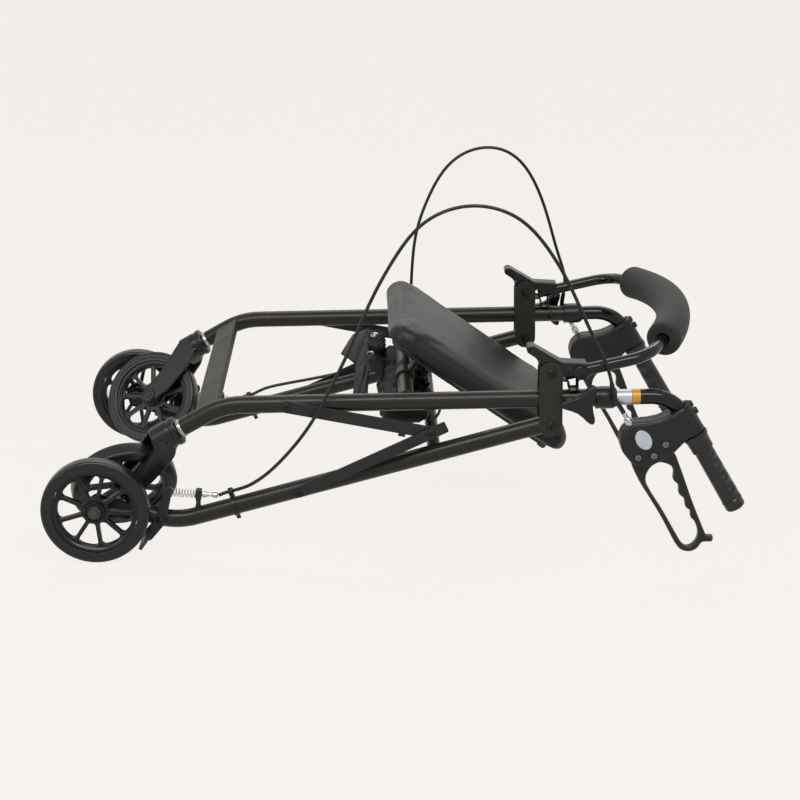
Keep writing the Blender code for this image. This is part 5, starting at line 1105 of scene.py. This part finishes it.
for name, side in SIDES:
    rim_part = plate(body_shape, side * (HALF - FACE), side * (HALF + FACE), 0.0022, [hollow], 4)
    web = plate(hollow, side * (HALF - 0.0035), side * (HALF + 0.0035), 0.0004)
    cuff = turned([(0.0089, -0.004), (0.0117, -0.004), (0.0117, 0.0006), (0.0108, 0.0016), (0.0089, 0.0016)],
                  at_side(mouth, side * HALF), ARM_DIR, 36, wrap=True)
    stud_at = BACKREST_PIVOT + np.array((0.0174, 0.0, 0.0005))
    recess = turned([(0.0032, -0.0004), (0.0052, -0.0004), (0.0056, 0.0003), (0.0046, 0.0006),
                     (0.0036, 0.0003)], at_side(stud_at, side * (HALF + FACE)), side * ACROSS, 28, wrap=True)
    piece(f"backrest_bracket_body_{name}", together(rim_part[:2], web[:2], cuff, recess), fitting_plastic,
          "backrest", [f"backrest_bracket_{name}"])
    piece(f"bracket_screw_{name}", button_bolt(stud_at, side, side * (HALF + FACE), 0.0034, 0.0010),
          bolt_black, "backrest", crease=28)
    button_at = BACKREST_PIVOT + np.array((0.0400, 0.0, 0.0020))
    button = [(0.0003, 0.0050), (0.0050, 0.0051), (0.0074, 0.0048), (0.0085, 0.0040), (0.0088, 0.0030),
              (0.0088, -0.0005), (0.0003, -0.0005)]
    piece(f"push_button_{name}", turned(button, at_side(button_at, side * (HALF + FACE)), side * ACROSS, 40),
          fitting_plastic, f"lock_button_{name}", [f"lock_button_{name}"])


def bar_point(angle, radius, centre):
    """Points on a circle in the bar's plane: centre along the arm, radius and angle to the arm."""
    angle = np.asarray(angle)[..., None]
    flat_at = mouth + (centre[0] + radius * np.cos(angle)) * ARM_DIR
    return flat_at + (centre[1] + radius * np.sin(angle)) * ACROSS


ARC_MID, ARC_R, BEND_R = -0.245, 0.400, 0.050
fillet = ARC_MID + math.sqrt((ARC_R - BEND_R) ** 2 - (HALF - BEND_R) ** 2)
turned_in = bar_point(np.radians(np.linspace(270, 330, 22)), BEND_R, (fillet, BEND_R - HALF))
long_arc = bar_point(np.radians(np.linspace(-30, 30, 49)[1:-1]), ARC_R, (ARC_MID, 0.0))
straight = mouth - HALF * ACROSS + np.linspace(-0.0297, fillet, 6)[:-1, None] * ARM_DIR
half_way = np.vstack([straight, turned_in])
bar_route = np.vstack([half_way, long_arc, (half_way * (1, -1, 1))[::-1]])
piece("backrest_tube", swept(bar_route, disc(0.0085, 40), steady=ARM_UP), gloss_black, "backrest_bar",
      ["backrest_bar"])


def foam_sleeve():
    """A tube round the bar's long arc: a closed profile of (angle, radius) with rounded ends and a
    bore, turned round the arc's own line. Its outside waves by 0.3 mm sin(5 s + 1), with s from
    -1 to 1 along it."""
    t = np.linspace(0, np.pi / 2, 7)
    soft, thick = 0.0050, 0.0253
    limit = math.radians(24.5)
    end_angle = limit - soft * (1 - np.sin(t)) / ARC_R
    end_r = thick - soft * (1 - np.cos(t))
    s = np.linspace(-1, 1, 61)
    outer_a = np.r_[-end_angle[::-1], s[1:-1] * (limit - soft / ARC_R), end_angle]
    outer_r = np.r_[end_r[::-1], thick + 0.0003 * np.sin(5 * s[1:-1] + 1), end_r]
    bore_a = np.r_[limit, np.linspace(limit - 0.010, -limit + 0.010, 41), -limit]
    angle = np.r_[outer_a, bore_a]
    radius = np.r_[outer_r, 0.0103, np.full(41, 0.0089), 0.0103][:, None, None]
    w = np.linspace(0, 2 * np.pi, 64, endpoint=False)[None, :, None]
    middle = bar_point(angle, ARC_R, (ARC_MID, 0.0))[:, None]
    away = (np.cos(angle)[:, None] * ARM_DIR + np.sin(angle)[:, None] * ACROSS)[:, None]
    return rings(middle + radius * (np.cos(w) * away + np.sin(w) * ARM_UP), wrap=True)


foam = piece("backrest_foam_sleeve", foam_sleeve(), foam_rubber, "backrest_bar",
             ["backrest_foam"], 50)

# Handles
# Bent gloss-black tubes slide in the front tubes and are held by three-armed knobs; the
# right one stands one hole lower. The left one carries a plain silver and an amber band.

silver_foil = finish("silver_foil", (0.50, 0.53, 0.60), 0.34, other=(0.44, 0.47, 0.54), metal=0.35,
                     size=900.0, depth=0.05, patch=60.0, edge=0.1, worn=(0.8, 0.8, 0.8))
amber_foil = finish("amber_foil", (0.50, 0.23, 0.010), 0.36, other=(0.60, 0.31, 0.02), metal=0.1, size=900.0,
                    depth=0.05, patch=60.0, edge=0.1, worn=(0.8, 0.6, 0.2))
# painted shade: a near-black finish for the dimples that stand in for the dark insides of the height holes
painted_hole_shade = finish("painted_hole_shade", (0.004, 0.004, 0.004), 0.8)
GRIP_DIR, GRIP_DOWN = heading(-59.0), heading(-149.0)
PITCH = 0.0254         # from one height hole to the next
LOWERED = {-1: 0.0, 1: PITCH}


def hand(side, along, down):
    """Side-view point along the grip from the handle's bend, and down towards the lever."""
    return front(0.3927 - LOWERED[side]) + along * GRIP_DIR + down * GRIP_DOWN


def hand_outline(side, points):
    """Handle points as a side-view outline."""
    return np.array([hand(side, a, d)[[0, 2]] for a, d in points])


for name, side in SIDES:
    body = f"handle_{name}"
    corners = [front(0.106 - LOWERED[side]), hand(side, 0, 0), hand(side, 0.1855, 0)]
    route = bent([at_side(p, side * HALF) for p in corners], 0.055, 2.5)
    piece(f"handle_bar_{name}", swept(route, disc(0.0111, 44)), gloss_black, body,
          [f"handle_tube_{name}"])
    # Each height hole is a shallow near-black dimple on both faces of the tube, with no opening cut: painted
    # shade for the hole's dark inside.
    marks = []
    for i in range(6):
        at = front(KNOB_AT + PITCH - LOWERED[side] - i * PITCH)
        for face in (-1, 1):
            out = np.array((0.01114, 0.01114, 0.01080))[:, None]
            turn = np.linspace(0, 2 * np.pi, 20, endpoint=False)
            r = np.array((0.0001, 0.0034, 0.0034))[:, None]
            along, round_it = r * np.cos(turn), r * np.sin(turn) / 0.0111
            marks.append(rings(at_side(at, side * HALF) + along[..., None] * ALONG
                               + (out * np.sin(round_it))[..., None] * ABOVE
                               + (face * out * np.cos(round_it))[..., None] * ACROSS))
    piece(f"height_hole_painted_shade_{name}", together(*marks), painted_hole_shade, body)
    arms = np.linspace(0, 2 * np.pi, 96, endpoint=False)
    lobe = (1 + np.cos(3 * (arms - np.pi))) / 2
    r = 0.0142 + 0.0062 * lobe + 0.0116 * lobe ** 5
    knob_at = front(KNOB_AT)
    star = np.stack([knob_at[0] + r * np.cos(arms), knob_at[2] + r * np.sin(arms)], -1)
    arms = plate(star, side * (HALF + 0.0255), side * (HALF + 0.0385), 0.0034, (), 5)
    neck = [(0.0003, 0.0400), (0.0052, 0.0399), (0.0078, 0.0390), (0.0086, 0.0380), (0.0110, 0.0290),
            (0.0095, 0.0240), (0.0095, 0.0140), (0.0090, 0.0136), (0.0042, 0.0136), (0.0042, 0.0114),
            (0.0003, 0.0114)]
    neck = turned([(r, HALF + out) for r, out in neck], at_side(knob_at, 0.0), side * ACROSS, 40)
    piece(f"star_knob_{name}", together(arms[:2], neck), fitting_plastic, f"height_knob_{name}",
          [f"height_knob_{name}"])

for label, first, last, foil in (("silver", 0.3122, 0.3337, silver_foil),
                                 ("amber", 0.3341, 0.3459, amber_foil)):
    length = last - first
    band = [(0.01112, 0.0), (0.01124, 0.0001), (0.01124, length - 0.0001), (0.01112, length)]
    piece(f"handle_band_{label}", turned(band, at_side(front(first), -HALF), ALONG, 56, wrap=True), foil,
          "handle_left")

# Grips
# Hard rubber sleeves on the handles' ends, with a cuff at the top, finger ridges and a
# thicker end.

grip_rubber = finish("grip_rubber", (0.0085, 0.0082, 0.0086), 0.33, other=(0.0105, 0.0102, 0.0106),
                     size=2600.0, depth=0.20, cells=0.5, patch=26.0, edge=0.4, gloss=0.38)
RIDGE = 0.0212         # from one finger ridge to the next
for name, side in SIDES:
    at = np.array((0.0645, 0.0650, 0.0662, 0.0705, 0.0722, 0.0750, 0.0860, 0.0905, 0.0920, 0.0930, 0.0945))
    size = np.array((0.0166, 0.0180, 0.0185, 0.0184, 0.0176, 0.0166, 0.0160, 0.0162, 0.0160, 0.0145, 0.0141))
    at = np.r_[at, np.linspace(0.0960, 0.1780, 60), 0.1795, 0.1810, 0.1825, 0.1840, 0.1860, 0.1900, 0.1932,
               0.1947, 0.1955]
    size = np.r_[size, 0.0139 + 0.0007 * np.linspace(0, 1, 60), 0.0148, 0.0152, 0.0152, 0.0148, 0.0146,
                 0.0147, 0.0146, 0.0138, 0.0124]
    w = np.linspace(0, 2 * np.pi, 56, endpoint=False)
    facing = math.radians(150 if side < 0 else 205)
    finger = np.clip(np.cos(w - facing), 0, 1) ** 4
    wave = np.sin(2 * np.pi * (at - 0.0975) / RIDGE) * ((at > 0.0975) & (at < 0.1805))
    r = size[:, None] + 0.0017 * wave[:, None] * finger[None, :]
    section = np.stack([r * np.cos(w), r * np.sin(w)], -1)
    path = at_side(hand(side, 0, 0), side * HALF) + at[:, None] * GRIP_DIR
    piece(f"hand_grip_{name}", swept(path, section), grip_rubber, f"handle_{name}",
          [f"grip_{name}"])

# Brake housings and levers
# Two moulded shells clamped on each handle, with a slot for the loop lever; on the outer
# side a plain silver oval and three screws. A steel barrel adjusts the cable.

housing_plastic = finish("housing_plastic", (0.0110, 0.0103, 0.0112), 0.38, other=(0.0130, 0.0122, 0.0132),
                         size=3000.0, depth=0.14, cells=0.5, patch=22.0, edge=0.8, gloss=0.26)
screw_grey = finish("screw_grey", (0.100, 0.102, 0.106), 0.42, metal=0.2, size=2600.0, depth=0.08)
lever_plastic = finish("lever_plastic", (0.0090, 0.0087, 0.0090), 0.32, other=(0.0108, 0.0105, 0.0108),
                       size=3000.0, depth=0.14, cells=0.5, patch=22.0, edge=0.9, gloss=0.30)


def between(a, b, c, d, t):
    """The Catmull-Rom curve from b to c, with a before them and d after them, at t from 0 to 1."""
    return 0.5 * (2 * b + (c - a) * t + (2 * a - 5 * b + 4 * c - d) * t * t
                  + (3 * b - a - 3 * c + d) * t ** 3)


def through(points):
    """A closed smooth outline through points, with five steps from each to the next."""
    p = np.asarray(points, float)
    t = np.arange(5)[:, None, None] / 5
    out = between(np.roll(p, 1, 0), p, np.roll(p, -1, 0), np.roll(p, -2, 0), t)
    return out.transpose(1, 0, 2).reshape(-1, 2)


SHELL = 0.0180         # from the handle's middle plane to the housing's faces
ADJUSTER, ADJUSTER_OUT = (0.0030, 0.0714), 0.0120
SCREWS_AT = ((0.0595, 0.0647), (0.0527, 0.0423), (0.0505, 0.0854))
LEVER_PIVOT = SCREWS_AT[2]
concave = [(0.0049, 0.0650), (0.0130, 0.0480), (0.0178, 0.0340), (0.0192, 0.0220), (0.0190, 0.0060)]
round_end = [(0.0746, 0.0503), (0.0719, 0.0580), (0.0719, 0.0784), (0.0621, 0.0917), (0.0500, 0.0984),
             (0.0305, 0.1008), (0.0170, 0.0963), (0.0070, 0.0862), (0.0040, 0.0740)]
shell_shape = concave + [(0.0185, -0.0060), (0.0620, -0.0060), (0.0628, 0.0126), (0.0698, 0.0347)] + round_end
core_shape = concave + [(0.0185, -0.0060), (0.0620, -0.0060), (0.0628, 0.0126), (0.0655, 0.0205),
                        (0.0250, 0.0215), (0.0270, 0.0600), (0.0340, 0.0700), (0.0340, 0.1000),
                        (0.0305, 0.1005), (0.0170, 0.0960), (0.0072, 0.0860), (0.0042, 0.0740)]
lever_shape = [(0.0398, 0.0820), (0.0440, 0.0940), (0.0623, 0.0995), (0.0874, 0.1016), (0.1151, 0.1010),
               (0.1536, 0.1004), (0.1973, 0.1021), (0.2127, 0.0990), (0.2212, 0.0895), (0.2220, 0.0780),
               (0.2178, 0.0680), (0.2212, 0.0600), (0.2235, 0.0545), (0.2173, 0.0500), (0.2114, 0.0570),
               (0.1979, 0.0560), (0.1562, 0.0505), (0.0995, 0.0407), (0.0746, 0.0380), (0.0561, 0.0450),
               (0.0460, 0.0640)]
loop_shape = [(0.0768, 0.0640), (0.0785, 0.0800), (0.0890, 0.0918), (0.1063, 0.0950), (0.1448, 0.0938),
              (0.1827, 0.0942), (0.2060, 0.0935), (0.2137, 0.0860), (0.2101, 0.0732), (0.1989, 0.0650),
              (0.1834, 0.0622), (0.1746, 0.0638), (0.1655, 0.0600), (0.1562, 0.0626), (0.1449, 0.0588),
              (0.1337, 0.0614), (0.1218, 0.0562), (0.1102, 0.0584), (0.0998, 0.0524), (0.0890, 0.0520)]
for name, side in SIDES:
    body = f"handle_{name}"
    radii = [0.02, 0.03, 0.03, 0.02, 0.01, 0.003, 0.003, 0.01, 0.02, 0.006, 0.008, 0.012, 0.02, 0.02, 0.02,
             0.02, 0.02, 0.02]
    shell = rounded(hand_outline(side, shell_shape), radii, 5)
    outer = plate(shell, side * (HALF + 0.0068), side * (HALF + SHELL), 0.0034, (), 6)
    inner = plate(shell, side * (HALF - 0.0068), side * (HALF - SHELL), 0.0034, (), 6)
    core = plate(rounded(hand_outline(side, core_shape), 0.0015, 2), side * (HALF - 0.0069),
                 side * (HALF + 0.0069), 0.0001, (), 1)
    spine = at_side(hand(side, 0, 0), side * HALF)
    sleeve = [(0.0115, 0.0185), (0.0162, 0.0185), (0.0170, 0.0194), (0.0170, 0.0575), (0.0166, 0.0582),
              (0.0166, 0.0592), (0.0174, 0.0598), (0.0174, 0.0622), (0.0168, 0.0632), (0.0115, 0.0632)]
    sleeve = turned(sleeve, spine, GRIP_DIR, 48, wrap=True)
    lobes = [turned([(0.0003, height), (0.0036, height), (0.0050, height - 0.0012), (0.0054, 0.0),
                     (0.0054, -0.003), (0.0003, -0.003)], spine + at * GRIP_DIR - 0.0160 * GRIP_DOWN,
                    -GRIP_DOWN, 28) for at, height in ((0.0232, 0.0036), (0.0352, 0.0052))]
    bosses = [turned([(0.0050, -0.0008), (0.0074, -0.0008), (0.0071, 0.0009), (0.0056, 0.0009)],
                     at_side(hand(side, *at), side * (HALF + SHELL)), side * ACROSS, 32, wrap=True)
              for at in SCREWS_AT]
    ring = turned([(0.0092, -0.0005), (0.0100, 0.0005), (0.0106, 0.0005), (0.0112, -0.0005)],
                  at_side(hand(side, 0.0330, 0.0650), side * (HALF - SHELL)), -side * ACROSS, 48, wrap=True)
    solid = together(outer[:2], inner[:2], core[:2], sleeve, *lobes, *bosses, ring)
    piece(f"brake_housing_shell_{name}", solid, housing_plastic, body,
          [f"brake_housing_{name}"], 36)
    screws = [pan_screw(at_side(hand(side, *at), side * (HALF + 0.0176)), side * ACROSS, 0.0050, 0.0026)
              for at in SCREWS_AT]
    screws.append(pan_screw(at_side(hand(side, *LEVER_PIVOT), side * (HALF - 0.0182)), -side * ACROSS,
                            0.0045, 0.0014))
    piece(f"housing_screws_{name}", together(*screws), screw_grey, body)
    a = np.linspace(0, 2 * np.pi, 56, endpoint=False)
    oval = hand_outline(side, np.stack([0.0307 + 0.0155 * np.cos(a), 0.0659 + 0.0108 * np.sin(a)], -1))
    badge = plate(oval, side * (HALF + 0.0176), side * (HALF + 0.0186), 0.0004)
    piece(f"silver_oval_{name}", badge[:2], silver_foil, body)
    barrel = [(0.0003, 0.0003), (0.0036, 0.0003), (0.0036, 0.0022), (0.0052, 0.0025), (0.0056, 0.0034),
              (0.0056, 0.0100), (0.0052, 0.0109), (0.0036, 0.0112), (0.0036, 0.0120), (0.0033, 0.0124),
              (0.0033, 0.0134), (0.0036, 0.0138), (0.0036, 0.0190), (0.0030, 0.0205), (0.0003, 0.0205)]
    barrel = turned(barrel, at_side(hand(side, *ADJUSTER), side * (HALF + ADJUSTER_OUT)), -GRIP_DIR, 14)
    piece(f"lever_adjuster_{name}", barrel, bright_steel, body, [f"lever_cable_adjuster_{name}"], 20)
    pivot = hand(side, *LEVER_PIVOT)[[0, 2]]
    press = 0.00866 if side > 0 else 0.0
    c, s = math.cos(press), math.sin(press)
    pressed = np.array(((c, s), (-s, c)))
    outline, loop = ((through(hand_outline(side, shape)) - pivot) @ pressed + pivot
                     for shape in (lever_shape, loop_shape))
    lever = plate(outline, side * (HALF - 0.0065), side * (HALF + 0.0065), 0.0032, [loop], 6)
    piece(f"loop_lever_{name}", lever, lever_plastic, f"brake_lever_{name}",
          [f"brake_lever_{name}"], 40)

# Brake cables
# Steel wires in black plastic casings, 5 mm thick, from the barrel on the leg through the
# clip and in a free standing loop to the barrel on the housing, where a ferrule ends them.

cable_black = finish("cable_black", (0.0070, 0.0068, 0.0075), 0.32, other=(0.0084, 0.0082, 0.0090),
                     size=3600.0, depth=0.03, patch=9.0, spread=0.02, edge=0.2, gloss=0.3)
CABLE_R = 0.0025
ZERO_X = front(0.0)[0] - 0.0362 * ABOVE[0]
LEFT_LOOP = [(-0.2068, 0.0090, 0.1028), (-0.1776, 0.0180, 0.1267), (-0.1346, 0.0240, 0.1786),
             (-0.1168, 0.0250, 0.2057), (-0.0728, 0.0250, 0.2939), (-0.0364, 0.0250, 0.3803),
             (-0.0060, 0.0240, 0.4367), (0.0303, 0.0230, 0.4856), (0.0708, 0.0220, 0.5064),
             (0.1047, 0.0210, 0.5126), (0.1526, 0.0210, 0.5012), (0.1803, 0.0220, 0.4821),
             (0.2233, 0.0230, 0.4266), (0.2605, 0.0240, 0.3531), (0.2876, 0.0225, 0.2948)]
RIGHT_LOOP = [(-0.2068, 0.0090, 0.0990), (-0.1650, 0.0220, 0.1055), (-0.1200, 0.0240, 0.1130),
              (-0.0650, 0.0250, 0.1270), (-0.0150, 0.0250, 0.1500), (0.0170, 0.0250, 0.1800),
              (0.0280, 0.0250, 0.2127), (0.0314, 0.0250, 0.2725), (0.0377, 0.0250, 0.3567),
              (0.0533, 0.0250, 0.4066), (0.0768, 0.0250, 0.4561), (0.1085, 0.0250, 0.4889),
              (0.1518, 0.0250, 0.5014), (0.1891, 0.0250, 0.4927), (0.2225, 0.0250, 0.4571),
              (0.2488, 0.0250, 0.3996), (0.2669, 0.0230, 0.3419), (0.2804, 0.0210, 0.2835)]


def smooth_line(points, step):
    """Points at even steps along the Catmull-Rom curve through the given points, faired: the least
    sum of held |move|^2 and 12000 |third difference|^2, with both ends held."""
    p = np.asarray(points, float)
    p = np.vstack([p[:1], p, p[-1:]])
    t = (np.arange(24) / 24)[None, :, None]
    dense = between(p[:-3, None], p[1:-2, None], p[2:-1, None], p[3:, None], t)
    dense = np.vstack([dense.reshape(-1, 3), p[-1:]])
    gone = np.r_[0, np.cumsum(np.linalg.norm(np.diff(dense, axis=0), axis=1))]
    even = np.linspace(0, gone[-1], round(gone[-1] / step) + 1)
    line = np.stack([np.interp(even, gone, dense[:, k]) for k in range(3)], -1)
    held = np.where((even < 0.058) | (even > even[-1] - 0.030), 1e6, 1.0)
    bend = np.diff(np.eye(len(line)), 3, axis=0)
    return np.linalg.solve(np.diag(held) + 1.2e4 * bend.T @ bend, held[:, None] * line)


clip_eye = rear(CLIP_AT, EYE_LIFT)
barrel_end = 0.0217    # from the adjuster's foot to the cable's end
for name, side, free in (("left", -1, LEFT_LOOP), ("right", 1, RIGHT_LOOP)):
    low_end = at_side(SPRING_LINE + 0.0287 * SPRING_DIR, side * HALF)
    eye = [at_side(clip_eye + reach * REAR_DIR, side * HALF) for reach in (0.007, 0, -0.007)]
    loop = [np.array((ZERO_X + x, side * (HALF + y), z)) for x, y, z in free]
    top = hand(side, ADJUSTER[0] - barrel_end, ADJUSTER[1])
    last = [at_side(top - reach * GRIP_DIR, side * (HALF + ADJUSTER_OUT + bow))
            for reach, bow in ((0.028, 0.0098), (0.013, 0.0062), (0.0, 0.0))]
    line = smooth_line([low_end, *eye, *loop, *last], 0.0040)
    high = int(np.argmax(line[:, 2]))
    legs, grips = line[:high + 1], line[high:]
    lower, upper = (piece(f"cable_{label}_run_{name}", swept(run, disc(CABLE_R, 16)), cable_black, None,
                          [f"brake_cable_{name}"])
                    for label, run in (("leg", legs), ("hand", grips)))
    casing = grips[-14:]
    swell = np.r_[0.0028, 0.0034, np.full(len(casing) - 2, 0.0035)]
    ferrule = piece(f"cable_ferrule_{name}", swept(casing, disc(swell, 20)), fitting_plastic,
                    f"handle_{name}")
    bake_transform(lower)
    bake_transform(upper)
    reach = float(np.linalg.norm(np.diff(legs, axis=0), axis=1).sum())
    reach = float(np.linalg.norm(np.diff(grips, axis=0), axis=1).sum())

low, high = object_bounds()
